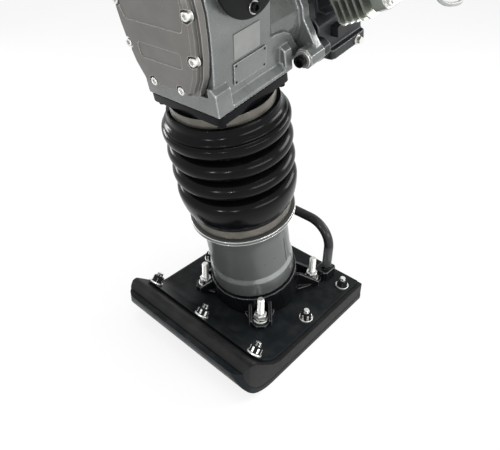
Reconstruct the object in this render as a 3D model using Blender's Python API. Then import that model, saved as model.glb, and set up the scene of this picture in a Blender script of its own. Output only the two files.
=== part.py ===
"""Tamping rammer, built the way the machine is built: shoe, spring leg, crankcase, engine and handle."""

import math

import bmesh
import bpy
from mathutils import Matrix, Vector

# Frame
# Metres, +Z up, front of the machine towards -Y, its left side towards +X.
# The origin lies on the ground in the middle plane of the machine.
LEAN = math.radians(12.0)          # the leg leans forward
LEG_FOOT = Vector((0.0, 0.0096, 0.033))   # the leg axis meets the top of the shoe pad here
GAP = 0.0003

# Shoe
SHOE_WIDTH = 0.280
SHOE_REAR = 0.150
SOLE_THICK = 0.009
PAD_TOP = 0.033
TOE_START = -0.112                 # where the sole starts to curl up
TOE_RADIUS = 0.071
TOE_ANGLE = 80.0
SLOPE = math.radians(40.0)         # rise of the toe's upper side
PLATE_THICK = 0.0045
PLATE_BOLT_X = 0.1162
PLATE_BOLT_ROWS = (0.1143, 0.0035)
TOE_BOLT_Y = -0.134

# Foot casting
STUD_X = 0.066
STUD_Y = (-0.058, 0.0867)
LUG_TOP = 0.046
STUD_RISE = 0.045
LOOP_Y = 0.118
LOOP_X = 0.077
LOOP_TOP = 0.149
LOOP_R = 0.0087

# Leg, distances along the leaning axis from LEG_FOOT
TUBE_R = 0.069
TUBE_LOW = 0.0603
RIM_R = 0.085
RIM_TOP = 0.2066
NECK_R = 0.0715
BORE_R = 0.042
FLANGE_LOW = 0.4183
FLANGE_TOP = 0.430
FLANGE_HALF = 0.0664
GUIDE_R = 0.056
GUIDE_BORE = 0.050
GUIDE_END = 0.262
STROKE_DOWN = 0.030
STROKE_UP = 0.035

# Bellows
RIB_TOPS = (0.2677, 0.3036, 0.3386, 0.3730)
RIB_R = 0.0922
RIB_VALLEY = 0.0808

# Gear train
GEAR_S = 0.560                     # height of the crank gear's axis up the leg
GEAR_TEETH = 58
PINION_TEETH = 11
MODULE = 0.002
ENGINE_S = GEAR_S - MODULE * (GEAR_TEETH + PINION_TEETH) / 2
CRANK_THROW = 0.017
ROD_LENGTH = 0.110
GEAR_FRONT = 0.014
GEAR_BACK = 0.028

# Crankcase
CASE_FRONT = -0.062
CASE_MID = 0.048
CASE_REAR = 0.118
COVER_FACE = -0.084
COVER_FLANGE = -0.074
COVER_SCREWS = (
    (0.025, 0.465),
    (0.057, 0.510),
    (0.0605, 0.563),
    (0.0465, 0.603),
    (0.020, 0.6215),
)
LUG_BOLTS = ((0.074, 0.440), (0.052, 0.5355))
DISC_B, DISC_S = -0.002, 0.5855    # base disc of the handle's rubber mounts, on the case's sides
DISC_R = 0.0505
MOUNT_B, MOUNT_S = 0.000, 0.605

# Engine
CYL_TILT = math.radians(24.0)      # the cylinder lies to the left, this far above level
ENGINE_REAR = 0.236
INTAKE = (0.086, 0.208)            # across and back, where the carburettor stands on the cylinder
EXHAUST = (0.080, 0.150)
CARB_REAR = 0.247

# Handle, in the ground's frame
HANDLE_X = 0.190
TUBE = 0.0145
FRONT_BAR = (-0.190, 0.905)
REAR_BAR = (0.440, 0.940)
CROSS_BARS = (-0.030, 0.170)

# Throttle, its lever on the left side tube
THROTTLE_Y = 0.300
CABLE_R = 0.003
HOSE_R = 0.0035


# Finishes

def finish(name, colour, roughness, metallic=0.0):
    """One Principled material."""
    made = bpy.data.materials.get(name)
    if made:
        return made
    made = bpy.data.materials.new(name)
    made.use_nodes = True
    shader = made.node_tree.nodes["Principled BSDF"]
    shader.inputs["Base Color"].default_value = (*colour, 1.0)
    shader.inputs["Roughness"].default_value = roughness
    shader.inputs["Metallic"].default_value = metallic
    made.diffuse_color = (*colour, 1.0)
    return made


def black_paint():
    return finish("black_paint", (0.018, 0.018, 0.020), 0.38)


def shoe_black():
    return finish("shoe_black", (0.020, 0.021, 0.023), 0.50)


def zinc():
    return finish("zinc_plate", (0.72, 0.72, 0.70), 0.28, 1.0)


def silver_paint():
    return finish("silver_paint", (0.42, 0.43, 0.42), 0.40, 0.25)


def cast_grey():
    return finish("cast_grey", (0.30, 0.31, 0.30), 0.48, 0.35)


def cover_grey():
    return finish("cover_grey", (0.17, 0.16, 0.15), 0.55, 0.15)


def strap_steel():
    return finish("strap_steel", (0.36, 0.33, 0.29), 0.42, 0.8)


def rubber_black():
    return finish("rubber_black", (0.012, 0.012, 0.013), 0.30)


def machined_steel():
    return finish("machined_steel", (0.55, 0.55, 0.54), 0.30, 1.0)


def engine_grey():
    return finish("engine_grey", (0.07, 0.07, 0.075), 0.50, 0.2)


def cast_alloy():
    return finish("cast_alloy", (0.36, 0.38, 0.34), 0.46, 0.5)


def handle_grey():
    return finish("handle_grey", (0.46, 0.47, 0.48), 0.35, 0.2)


def black_plastic():
    return finish("black_plastic", (0.02, 0.02, 0.021), 0.45)


def red_plastic():
    return finish("red_plastic", (0.45, 0.02, 0.015), 0.40)


# Building helpers

def leg_frame():
    """An empty on the leg axis: its Z runs up the leg, its Y towards the rear."""
    made = bpy.data.objects.get("leg_frame")
    if made is None:
        made = bpy.data.objects.new("leg_frame", None)
        made.location = LEG_FOOT
        made.rotation_euler = (LEAN, 0.0, 0.0)
        bpy.context.scene.collection.objects.link(made)
        bpy.context.view_layer.update()
    return made


def leg_point(across, back, up):
    """A point of the leg's frame, in the ground's frame."""
    c, s = math.cos(LEAN), math.sin(LEAN)
    return LEG_FOOT + Vector((across, back * c - up * s, back * s + up * c))


def side_z(y):
    """Height of the handle's side tubes at a distance along the machine."""
    share = (y - FRONT_BAR[0]) / (REAR_BAR[0] - FRONT_BAR[0])
    return FRONT_BAR[1] + share * (REAR_BAR[1] - FRONT_BAR[1])


def add(name, bm, material=None, at=(0, 0, 0), turn=(0, 0, 0), leg=False, sharp=35.0):
    """Turns a bmesh into a named object, shaded smooth up to a set angle."""
    bmesh.ops.recalc_face_normals(bm, faces=bm.faces)
    mesh = bpy.data.meshes.new(name)
    bm.to_mesh(mesh)
    bm.free()
    mesh.shade_smooth()
    mesh.set_sharp_from_angle(angle=math.radians(sharp))
    made = bpy.data.objects.new(name, mesh)
    made.location = at
    made.rotation_euler = turn
    if leg:
        made.parent = leg_frame()
    if material:
        mesh.materials.append(material)
    bpy.context.scene.collection.objects.link(made)
    return made


def guide(made):
    """Marks an object as a cutter or an added form that only another object's modifier uses."""
    made.hide_render = True
    made.display_type = "WIRE"
    return made


def combine(made, other, operation="DIFFERENCE"):
    """Boolean of two objects; the second stays as a guide."""
    guide(other)
    step = made.modifiers.new(other.name, "BOOLEAN")
    step.operation = operation
    step.object = other
    step.solver = "EXACT"
    return made


def join_all(made, others):
    """Unites several forms into one body."""
    for other in others:
        combine(made, other, "UNION")
    return made


def cord(name, points, radius, material):
    """A round cord or hose along a smooth curve through the given points."""
    curve = bpy.data.curves.new(name, "CURVE")
    curve.dimensions = "3D"
    curve.bevel_depth = radius
    curve.bevel_resolution = 1
    curve.use_fill_caps = True
    path = smooth_path(points, radius * 7)
    spline = curve.splines.new("POLY")
    spline.points.add(len(path) - 1)
    for point, place in zip(spline.points, path):
        point.co = (*place, 1.0)
    made = bpy.data.objects.new(name, curve)
    curve.materials.append(material)
    bpy.context.scene.collection.objects.link(made)
    return made


def round_edges(made, width, segments=1, angle=40.0):
    step = made.modifiers.new("edges", "BEVEL")
    step.width = width
    step.segments = segments
    step.limit_method = "ANGLE"
    step.angle_limit = math.radians(angle)
    step.harden_normals = False
    return made


def skin(bm, rings, closed=False):
    """Bridges rings of equal length with quads and caps the two ends."""
    rows = [[bm.verts.new(p) for p in ring] for ring in rings]
    count = len(rows[0])
    last = len(rows) if closed else len(rows) - 1
    for i in range(last):
        low, high = rows[i], rows[(i + 1) % len(rows)]
        for j in range(count):
            k = (j + 1) % count
            bm.faces.new((low[j], low[k], high[k], high[j]))
    if not closed:
        bm.faces.new(list(reversed(rows[0])))
        bm.faces.new(rows[-1])
    return bm


def lathe(profile, segments=32, closed=False):
    """A turned form about Z. profile: (radius, height) pairs; closed joins the last pair to the first."""
    bm = bmesh.new()
    rings = []
    for r, z in profile:
        ring = []
        for i in range(segments):
            t = 2 * math.pi * i / segments
            ring.append((r * math.cos(t), r * math.sin(t), z))
        rings.append(ring)
    return skin(bm, rings, closed)


def prism(outline, low, high, axis="Z"):
    """An outline drawn out along an axis. X: (y, z) outline, Y: (x, z) outline, Z: (x, y) outline."""
    place = {
        "X": lambda u, v, w: (w, u, v),
        "Y": lambda u, v, w: (u, w, v),
        "Z": lambda u, v, w: (u, v, w),
    }[axis]
    bm = bmesh.new()
    return skin(bm, [[place(u, v, w) for u, v in outline] for w in (low, high)])


def rod(radius, low, high, axis="Z", centre=(0.0, 0.0), segments=20):
    """A plain cylinder along an axis."""
    return prism(circle(centre, radius, segments), low, high, axis)


def circle(centre, radius, segments=20):
    turn = math.pi / segments
    return [
        (
            centre[0] + radius * math.cos(2 * math.pi * i / segments + turn),
            centre[1] + radius * math.sin(2 * math.pi * i / segments + turn),
        )
        for i in range(segments)
    ]


def arc(centre, radius, start, end, steps):
    """Points on an arc, in degrees."""
    made = []
    for i in range(steps + 1):
        t = math.radians(start + (end - start) * i / steps)
        made.append((centre[0] + radius * math.cos(t), centre[1] + radius * math.sin(t)))
    return made


def rounded_box(x0, x1, y0, y1, radii, steps=4):
    """A rectangle with rounded corners; radii: (x0y0, x1y0, x1y1, x0y1)."""
    if not isinstance(radii, (tuple, list)):
        radii = (radii,) * 4
    corners = ((x0, y0, 1, 1, 180), (x1, y0, -1, 1, 270), (x1, y1, -1, -1, 0), (x0, y1, 1, -1, 90))
    made = []
    for (x, y, sx, sy, start), r in zip(corners, radii):
        if r <= 0:
            made.append((x, y))
            continue
        made += arc((x + sx * r, y + sy * r), r, start, start + 90, steps)
    return made


def fillet(points, radii, steps=3):
    """Rounds each corner of a closed outline by its own radius."""
    made = []
    count = len(points)
    for i, point in enumerate(points):
        r = radii[i] if isinstance(radii, (tuple, list)) else radii
        here = Vector(point)
        before = (Vector(points[i - 1]) - here)
        after = (Vector(points[(i + 1) % count]) - here)
        half = before.angle(after) / 2
        if r <= 0 or half > math.radians(88):
            made.append(tuple(here))
            continue
        run = min(r / math.tan(half), before.length * 0.48, after.length * 0.48)
        start = here + before.normalized() * run
        end = here + after.normalized() * run
        for k in range(steps + 1):
            t = k / steps
            q = start * (1 - t) ** 2 + here * 2 * t * (1 - t) + end * t ** 2
            made.append(tuple(q))
    return made


def smooth_path(points, step):
    """A smooth curve through the given points, read at about equal steps."""
    p = [Vector(q) for q in points]
    p = [p[0] * 2 - p[1]] + p + [p[-1] * 2 - p[-2]]
    made = []
    for i in range(1, len(p) - 2):
        count = max(2, round((p[i + 1] - p[i]).length / step))
        for k in range(count):
            t = k / count
            made.append(
                0.5
                * (
                    2 * p[i]
                    + (p[i + 1] - p[i - 1]) * t
                    + (2 * p[i - 1] - 5 * p[i] + 4 * p[i + 1] - p[i + 2]) * t ** 2
                    + (3 * p[i] - p[i - 1] - 3 * p[i + 1] + p[i + 2]) * t ** 3
                )
            )
    made.append(p[-2])
    return made


def bent_path(points, radii, steps=4):
    """Straight runs joined by arcs, as a tube bender makes them."""
    made = [Vector(points[0])]
    for i in range(1, len(points) - 1):
        here = Vector(points[i])
        before = Vector(points[i - 1]) - here
        after = Vector(points[i + 1]) - here
        half = before.angle(after) / 2
        r = radii[i - 1] if isinstance(radii, (tuple, list)) else radii
        run = r / math.tan(half)
        centre = here + (before.normalized() + after.normalized()).normalized() * (r / math.sin(half))
        start = here + before.normalized() * run
        end = here + after.normalized() * run
        u, v = start - centre, end - centre
        sweep = u.angle(v)
        w = (v - u.normalized() * v.dot(u.normalized())).normalized() * r
        for k in range(steps + 1):
            t = sweep * k / steps
            made.append(centre + u * math.cos(t) + w * math.sin(t))
    made.append(Vector(points[-1]))
    return made


def sweep_tube(path, radius, sides=10, closed=False, up=(0.0, 0.0, 1.0)):
    """A round bar along a path, with a steady cross-section that doesn't twist."""
    path = [Vector(p) for p in path]
    count = len(path)
    rings = []
    normal = None
    for i, p in enumerate(path):
        if closed:
            run = path[(i + 1) % count] - path[i - 1]
        else:
            run = path[min(i + 1, count - 1)] - path[max(i - 1, 0)]
        run.normalize()
        if normal is None:
            seed = Vector(up)
            if abs(seed.dot(run)) > 0.9:
                seed = Vector((1.0, 0.0, 0.0))
            normal = (seed - run * seed.dot(run)).normalized()
        else:
            normal = (normal - run * normal.dot(run)).normalized()
        side = run.cross(normal)
        ring = []
        for k in range(sides):
            t = 2 * math.pi * (k + 0.5) / sides
            ring.append(p + normal * (radius * math.cos(t)) + side * (radius * math.sin(t)))
        rings.append(ring)
    return skin(bmesh.new(), rings, closed)


def hex_ring(across, z):
    """The six corners of a hexagon, from its width across the flats."""
    return round_ring(across / math.sqrt(3), z, 6)


def round_ring(radius, z, sides=12):
    return [
        (radius * math.cos(2 * math.pi * i / sides), radius * math.sin(2 * math.pi * i / sides), z)
        for i in range(sides)
    ]


def stack(rings):
    """Rings joined one above the other; a ring may meet one with half its points."""
    bm = bmesh.new()
    rows = [[bm.verts.new(p) for p in ring] for ring in rings]
    for low, high in zip(rows, rows[1:]):
        few, many = (low, high) if len(low) < len(high) else (high, low)
        for j in range(len(few)):
            k = (j + 1) % len(few)
            if len(few) == len(many):
                bm.faces.new((few[j], few[k], many[k], many[j]))
                continue
            a, b, c = many[2 * j], many[2 * j + 1], many[(2 * j + 2) % len(many)]
            bm.faces.new((few[j], a, b))
            bm.faces.new((few[j], b, c, few[k]))
    bm.faces.new(list(reversed(rows[0])))
    bm.faces.new(rows[-1])
    return bm


def merge_bodies(target, bodies):
    """Adds separate solids to one bmesh; bodies: (bmesh, matrix) pairs."""
    for bm, matrix in bodies:
        mesh = bpy.data.meshes.new("body")
        bmesh.ops.recalc_face_normals(bm, faces=bm.faces)
        bmesh.ops.transform(bm, matrix=matrix, verts=bm.verts)
        bm.to_mesh(mesh)
        bm.free()
        target.from_mesh(mesh)
        bpy.data.meshes.remove(mesh)
    return target


def along(axis):
    """Turns a form made about Z so that it lies along another axis."""
    return {
        "X": Matrix.Rotation(math.radians(90), 4, "Y"),
        "-X": Matrix.Rotation(math.radians(-90), 4, "Y"),
        "Y": Matrix.Rotation(math.radians(-90), 4, "X"),
        "-Y": Matrix.Rotation(math.radians(90), 4, "X"),
        "Z": Matrix.Identity(4),
    }[axis]


# Shoe

def pad_top_line(lift=0.0):
    """The upper side of the shoe pad from its rear edge to the crest of the toe."""
    low = 0.045 - lift
    start = -0.0864
    made = [(SHOE_REAR, PAD_TOP + lift)]
    centre = (start, PAD_TOP + 0.045)
    slope = math.degrees(SLOPE)
    made += arc(centre, low, -90, -90 - slope, 5)
    return made


def crest():
    """Centre and radius of the toe's rounded nose."""
    return (-0.1606, 0.0645), 0.013


def sole_outline(offset, lip=0.007):
    """The sole's side line at a depth inside its outer face, from the rear to the toe's lip."""
    r = TOE_RADIUS - offset
    made = [(SHOE_REAR, offset)]
    made += arc((TOE_START, TOE_RADIUS), r, -90, -90 - TOE_ANGLE, 8)
    last = made[-1]
    t = math.radians(TOE_ANGLE)
    made.append((last[0] - lip * math.cos(t), last[1] + lip * math.sin(t)))
    return made


def plan_cut(name, inset=0.0, front=-0.1832, corner=0.028):
    """The shoe's outline seen from above, with its rounded toe corners."""
    half = SHOE_WIDTH / 2 - inset
    outline = rounded_box(-half, half, front, SHOE_REAR - inset, (corner, corner, 0.004, 0.004), 5)
    return add(name, prism(outline, -0.01, 0.12))


def plate_bolt_places():
    """Foot point and tilt of each shoe bolt, on top of the plate."""
    made = []
    for y in PLATE_BOLT_ROWS:
        for x in (-PLATE_BOLT_X, PLATE_BOLT_X):
            made.append((Vector((x, y, PAD_TOP + GAP + PLATE_THICK)), 0.0))
    out = GAP + PLATE_THICK
    line_z = 0.0645 + 0.013 * math.cos(SLOPE)
    line_y = -0.1606 + 0.013 * math.sin(SLOPE)
    z = line_z - (TOE_BOLT_Y - line_y) * math.tan(SLOPE)
    foot = Vector((0.0, TOE_BOLT_Y, z)) + Vector((0.0, math.sin(SLOPE), math.cos(SLOPE))) * out
    for x in (-PLATE_BOLT_X, 0.0, PLATE_BOLT_X):
        made.append((Vector((x, foot.y, foot.z)), SLOPE))
    return made


def plate_bolt():
    """Washer, nut and bolt end on top of the plate, whose upper face is at z=0."""
    rings = [
        round_ring(0.012, -0.0006, 6),
        round_ring(0.012, 0.0028, 6),
        hex_ring(0.0175, 0.0028),
        hex_ring(0.0175, 0.0128),
        round_ring(0.0056, 0.0128, 6),
        round_ring(0.0056, 0.0187, 6),
    ]
    return stack(rings)


def make_shoe():
    sole = sole_outline(0.0) + list(reversed(sole_outline(SOLE_THICK)))
    made = add("sole_plate", prism(sole, -SHOE_WIDTH / 2, SHOE_WIDTH / 2, "X"), shoe_black())
    combine(made, plan_cut("sole_plan"), "INTERSECT")

    (cy, cz), r = crest()
    slope = math.degrees(SLOPE)
    inner = sole_outline(SOLE_THICK + GAP, 0.0035)
    nose = arc((cy, cz), r, 176, 90 - slope, 7)
    pad = inner + nose + list(reversed(pad_top_line()))
    made = add("shoe_pad", prism(pad, -SHOE_WIDTH / 2, SHOE_WIDTH / 2, "X"), shoe_black())
    combine(made, plan_cut("pad_plan", 0.0004), "INTERSECT")

    low = pad_top_line(GAP)
    high = pad_top_line(GAP + PLATE_THICK)
    low[0] = (SHOE_REAR - 0.004, low[0][1])
    high[0] = (SHOE_REAR - 0.004, high[0][1])
    end_y = -0.1425
    for line in (low, high):
        y, z = line[-1]
        line.append((end_y, z - (end_y - y) * math.tan(SLOPE)))
    half = SHOE_WIDTH / 2 - 0.008
    made = add("top_plate", prism(low + list(reversed(high)), -half, half, "X"), shoe_black())
    outline = rounded_box(-half, half, -0.141, SHOE_REAR - 0.004, (0.014, 0.014, 0.003, 0.003), 4)
    combine(made, add("plate_plan", prism(outline, 0.0, 0.12)), "INTERSECT")
    bodies = []
    for foot, tilt in plate_bolt_places():
        matrix = Matrix.Translation(foot) @ Matrix.Rotation(-tilt, 4, "X")
        bodies.append((plate_bolt(), matrix))
    join_all(made, [add("shoe_bolts", merge_bodies(bmesh.new(), bodies))])


def make_foot():
    """Foot casting with four ribbed lugs, its studs and the lifting loop."""
    low = PAD_TOP + PLATE_THICK + 2 * GAP
    made = add("foot_casting", rod(0.076, -0.05, TUBE_LOW - GAP, segments=26), black_paint(), leg=True)
    floor_box = prism(rounded_box(-0.2, 0.2, -0.2, 0.25, 0.0, 1), low, 0.12)
    forms = []
    centre = Vector((0.0, 0.0085))
    for i, y in enumerate(STUD_Y):
        for side in (-1, 1):
            x = side * STUD_X
            tag = f"{i}_{'l' if side > 0 else 'r'}"
            out = (Vector((x, y)) - centre).normalized()
            across = Vector((-out.y, out.x))
            tip = Vector((x, y))
            outline = []
            for u, v in arc((0.0, 0.0), 0.0185, -72, 72, 3):
                outline.append(tuple(tip + out * u + across * v))
            start = centre + out * 0.050
            outline.append(tuple(start + across * 0.034))
            outline.append(tuple(start - across * 0.034))
            forms.append(add(f"lug_{tag}", prism(outline, low, LUG_TOP)))
            for k in (-1, 1):
                base = centre + out * 0.055 + across * (k * 0.0165)
                turn = math.atan2(out.y, out.x)
                reach = (tip - centre).length - 0.055 + 0.010
                rib = [(0.0, low + 0.002), (reach, low + 0.002), (reach, LUG_TOP + 0.004), (0.020, 0.072), (0.0, 0.072)]
                form = add(f"rib_{tag}_{k}", prism(rib, -0.003, 0.003, "Y"), at=(base.x, base.y, 0.0), turn=(0, 0, turn))
                forms.append(form)
    for side in (-1, 1):
        x = side * LOOP_X
        block = rounded_box(x - 0.0135, x + 0.0135, LOOP_Y - 0.020, LOOP_Y + 0.0135, 0.004, 1)
        forms.append(add(f"loop_block_{side}", prism(block, low, 0.060)))
    join_all(made, forms)
    floor = guide(add("foot_floor", floor_box))
    step = made.modifiers.new("floor", "BOOLEAN")
    step.operation = "INTERSECT"
    step.object = floor
    bodies = [(rod(LOOP_R + 2 * GAP, 0.048, 0.08, "Z", (s * LOOP_X, LOOP_Y), 10), Matrix.Identity(4)) for s in (-1, 1)]
    combine(made, add("loop_sockets", merge_bodies(bmesh.new(), bodies)))

    bodies = []
    for y in STUD_Y:
        for x in (-STUD_X, STUD_X):
            top = LUG_TOP
            rings = [
                round_ring(0.0125, top - 0.0006, 6),
                round_ring(0.0125, top + 0.003, 6),
                hex_ring(0.0185, top + 0.003),
                hex_ring(0.0185, top + 0.013),
                round_ring(0.0058, top + 0.013, 6),
                round_ring(0.0058, top + STUD_RISE, 6),
            ]
            bodies.append((stack(rings), Matrix.Translation((x, y, 0.0))))
    join_all(made, [add("foot_studs", merge_bodies(bmesh.new(), bodies))])

    points = [
        (LOOP_X, LOOP_Y, 0.0485),
        (LOOP_X, LOOP_Y, LOOP_TOP),
        (-LOOP_X, LOOP_Y, LOOP_TOP),
        (-LOOP_X, LOOP_Y, 0.0485),
    ]
    add("lifting_loop", sweep_tube(bent_path(points, 0.046, 5), LOOP_R, 8, up=(0, 1, 0)), black_paint())


# Leg

def spring_cylinder_profile():
    """Outer side up, bore down again; the floor of the bore is closed."""
    outer = [
        (0.0665, TUBE_LOW),
        (0.0715, TUBE_LOW + 0.003),
        (0.0715, 0.096),
        (TUBE_R, 0.099),
        (TUBE_R, 0.150),
        (0.0705, 0.172),
        (0.0745, 0.190),
        (0.0775, 0.1985),
        (RIM_R, 0.2002),
        (RIM_R, RIM_TOP),
        (NECK_R, RIM_TOP),
        (NECK_R, 0.2245),
        (0.0480, 0.2255),
        (0.0480, 0.328),
        (0.0455, 0.330),
    ]
    bore = [(BORE_R, 0.330), (BORE_R, 0.076)]
    return outer + bore


def coil(radius, wire, low, high, turns, points=8, sides=5):
    """An open coil spring about Z with its end turns lying flat."""
    path = []
    total = turns * points
    for i in range(total + 1):
        t = i / total
        if t < 1 / turns:
            rise = 0.5 * (t * turns) ** 2 / turns
        elif t > 1 - 1 / turns:
            left = (1 - t) * turns
            rise = 1 - 1 / turns - 0.5 * left ** 2 / turns
        else:
            rise = t - 0.5 / turns
        share = rise / (1 - 1 / turns)
        z = low + wire + (high - low - 2 * wire) * share
        a = 2 * math.pi * i / points
        path.append((radius * math.cos(a), radius * math.sin(a), z))
    return sweep_tube(path, wire, sides)


def bellows_outer():
    """The bellows' outer side, from its lower cuff to its upper cuff."""
    made = [(0.0770, 0.2075), (0.0770, 0.2240), (0.0805, 0.2275), (0.0850, 0.236), (0.0862, 0.245), (0.0820, 0.2515)]
    for i, s in enumerate(RIB_TOPS):
        made += [(RIB_R - 0.0012, s - 0.0055), (RIB_R, s + 0.0005), (RIB_R - 0.0016, s + 0.0065)]
        if i < len(RIB_TOPS) - 1:
            middle = (s + RIB_TOPS[i + 1]) / 2 + 0.0008
            made.append((RIB_VALLEY, middle))
    made += [(0.0835, 0.3905), (0.0765, 0.3985), (0.0718, 0.4028), (0.0716, 0.4175)]
    return made


def make_leg():
    made = add("spring_cylinder", lathe(spring_cylinder_profile(), 26), silver_paint(), leg=True)
    ring = [(0.0410, 0.303), (0.0410, 0.327), (0.0128, 0.327), (0.0128, 0.303)]
    add("spring_seat", lathe(ring, 14, True), machined_steel(), leg=True)
    add("lower_spring", coil(0.0345, 0.0036, 0.0765, 0.1648, 5), machined_steel(), leg=True)
    add("upper_spring", coil(0.0345, 0.0036, 0.1862, 0.3025, 6), machined_steel(), leg=True)

    bellows = bellows_outer() + [
        (0.0664, 0.4175),
        (0.0664, 0.4010),
        (0.0755, 0.3950),
        (0.0755, 0.2300),
        (0.0723, 0.2262),
        (0.0723, 0.2075),
    ]
    add("bellows", lathe(bellows, 26, True), rubber_black(), leg=True)
    add("lower_band", clamp_band(0.0778, 0.0017, 0.2092, 0.2232), strap_steel(), leg=True)
    add("upper_band", clamp_band(0.0725, 0.0016, 0.4036, 0.4172), strap_steel(), leg=True)


def clamp_band(radius, thick, low, high):
    """A strap open at the rear, its two ears turned outwards."""
    open_half = math.degrees(0.0022 / radius)
    ear = 0.013
    start, end = 90 + open_half, 450 - open_half
    inside = arc((0, 0), radius, start, end, 30)
    outside = arc((0, 0), radius + thick, end - 1.4, start + 1.4, 30)
    edge = 0.0022
    ears_left = [(edge, radius + ear), (edge + thick, radius + ear)]
    ears_right = [(-edge - thick, radius + ear), (-edge, radius + ear)]
    outline = inside + ears_left + outside + ears_right
    return prism(outline, low, high)


def make_guide_cylinder():
    """Square flange under the crankcase with the tube that slides round the spring cylinder."""
    neck = [
        (GUIDE_R, GUIDE_END),
        (GUIDE_R, 0.398),
        (0.0660, 0.4005),
        (0.0660, 0.4240),
        (0.0510, 0.4240),
        (GUIDE_BORE, 0.4180),
        (GUIDE_BORE, GUIDE_END),
    ]
    made = add("guide_cylinder", lathe(neck, 26, True), black_paint(), leg=True)
    plate = rounded_box(-FLANGE_HALF, FLANGE_HALF, -0.0687, 0.0683, 0.010, 3)
    forms = [add("flange_form", prism(plate, FLANGE_LOW, FLANGE_TOP), leg=True)]
    join_all(made, forms)
    combine(made, add("guide_bore_cut", rod(0.0495, 0.40, 0.46, "Z", (0, 0), 28), leg=True))

    bush = [(0.0497, 0.2640), (0.0497, 0.3000), (0.0483, 0.3000), (0.0483, 0.2640)]
    add("guide_bush", lathe(bush, 26, True), finish("bronze", (0.45, 0.29, 0.12), 0.35, 1.0), leg=True)


# Crank drive

def gear_outline(teeth, module, turn=0.0):
    """A spur gear's outline: straight flanks between the tip and root circles, with backlash."""
    pitch = teeth * module / 2
    tip, root = pitch + module * 0.75, pitch - module * 1.30
    made = []
    for i in range(teeth):
        a = 2 * math.pi * i / teeth + turn
        p = math.pi / teeth
        for share, r in ((-0.08, tip), (0.08, tip), (1.0, root)):
            t = a + share * p
            made.append((r * math.cos(t), r * math.sin(t)))
    return made


def make_crank_gear():
    """Crank gear with its eccentric pin in front and its journal behind; origin on the gear's axis."""
    at = (0.0, 0.0, GEAR_S)
    made = add("crank_gear", prism(gear_outline(GEAR_TEETH, MODULE), GEAR_FRONT, GEAR_BACK, "Y"), machined_steel(), at=at, leg=True)
    forms = [
        add("gear_journal", lathe([(0.0148, 0.020), (0.0148, 0.0578)], 12), at=at, turn=(math.radians(-90), 0, 0), leg=True),
        add("gear_pin", lathe([(0.0100, -0.0088), (0.0100, 0.020)], 12), at=(0, 0, GEAR_S - CRANK_THROW), turn=(math.radians(-90), 0, 0), leg=True),
        add("gear_boss", lathe([(0.0165, 0.0105), (0.0165, 0.020)], 12), at=(0, 0, GEAR_S - CRANK_THROW), turn=(math.radians(-90), 0, 0), leg=True),
    ]
    join_all(made, forms)
    bodies = []
    for i in range(5):
        a = math.radians(18 + 36 * i)
        centre = (0.036 * math.cos(a), 0.036 * math.sin(a))
        bodies.append((rod(0.0095, 0.0, 0.05, "Y", centre, 6), Matrix.Identity(4)))
    combine(made, add("gear_holes", merge_bodies(bmesh.new(), bodies), at=at, leg=True))

    ring = [(0.0152, 0.0363), (0.0152, 0.0570), (0.0257, 0.0570), (0.0257, 0.0363)]
    add("gear_bearing", lathe(ring, 16, True), machined_steel(), at=at, turn=(math.radians(-90), 0, 0), leg=True)
    ring = [(0.0088, 0.0363), (0.0088, 0.0480), (0.0197, 0.0480), (0.0197, 0.0363)]
    turn = (math.radians(-90), 0, 0)
    add("pinion_bearing", lathe(ring, 16, True), machined_steel(), at=(0, 0, ENGINE_S), turn=turn, leg=True)


def make_rod():
    """Connecting rod on the crank pin, its wrist pin and the piston rod's fork below."""
    pin_s = GEAR_S - CRANK_THROW
    small_s = pin_s - ROD_LENGTH
    at = (0.0, 0.0, pin_s)
    outline = arc((0, 0), 0.0205, -60, 240, 10) + arc((0, -ROD_LENGTH), 0.0135, 190, 350, 5)
    made = add("connecting_rod", prism(outline, -0.0085, 0.0085, "Y"), machined_steel(), at=at, leg=True)
    cuts = [
        (rod(0.0103, -0.02, 0.02, "Y", (0, 0), 14), Matrix.Identity(4)),
        (rod(0.0083, -0.02, 0.02, "Y", (0, -ROD_LENGTH), 14), Matrix.Identity(4)),
    ]
    web = fillet([(-0.0085, -0.027), (0.0085, -0.027), (0.0055, -0.090), (-0.0055, -0.090)], 0.004, 1)
    cuts.append((prism(web, -0.012, -0.0045, "Y"), Matrix.Identity(4)))
    cuts.append((prism(web, 0.0045, 0.012, "Y"), Matrix.Identity(4)))
    combine(made, add("rod_cuts", merge_bodies(bmesh.new(), cuts), at=at, leg=True))
    add("wrist_pin", rod(0.0080, -0.0083, 0.0083, "Y", (0, 0), 14), machined_steel(), at=(0, 0, small_s), leg=True)

    fork_low = small_s - 0.0135 - 2 * CRANK_THROW - 0.004
    made = add("piston_rod", lathe([(0.0120, 0.1865), (0.0120, fork_low + 0.004)], 14), machined_steel(), leg=True)
    base = rounded_box(-0.0150, 0.0150, -0.0165, 0.0165, 0.004, 2)
    fork = add("fork_form", prism(base, fork_low - 0.010, small_s + 0.0105), leg=True)
    join_all(made, [fork])
    slot = prism(rounded_box(-0.03, 0.03, -0.0092, 0.0092, 0.0, 1), fork_low, small_s + 0.03)
    combine(made, add("fork_slot", slot, leg=True))
    combine(made, add("fork_bore", rod(0.0083, -0.03, 0.03, "Y", (0, small_s), 14), leg=True))
    piston = [
        (0.0060, 0.1655),
        (0.0400, 0.1655),
        (0.0415, 0.1670),
        (0.0415, 0.1840),
        (0.0400, 0.1855),
        (0.0060, 0.1855),
    ]
    add("piston", lathe(piston, 16), machined_steel(), leg=True)


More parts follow.
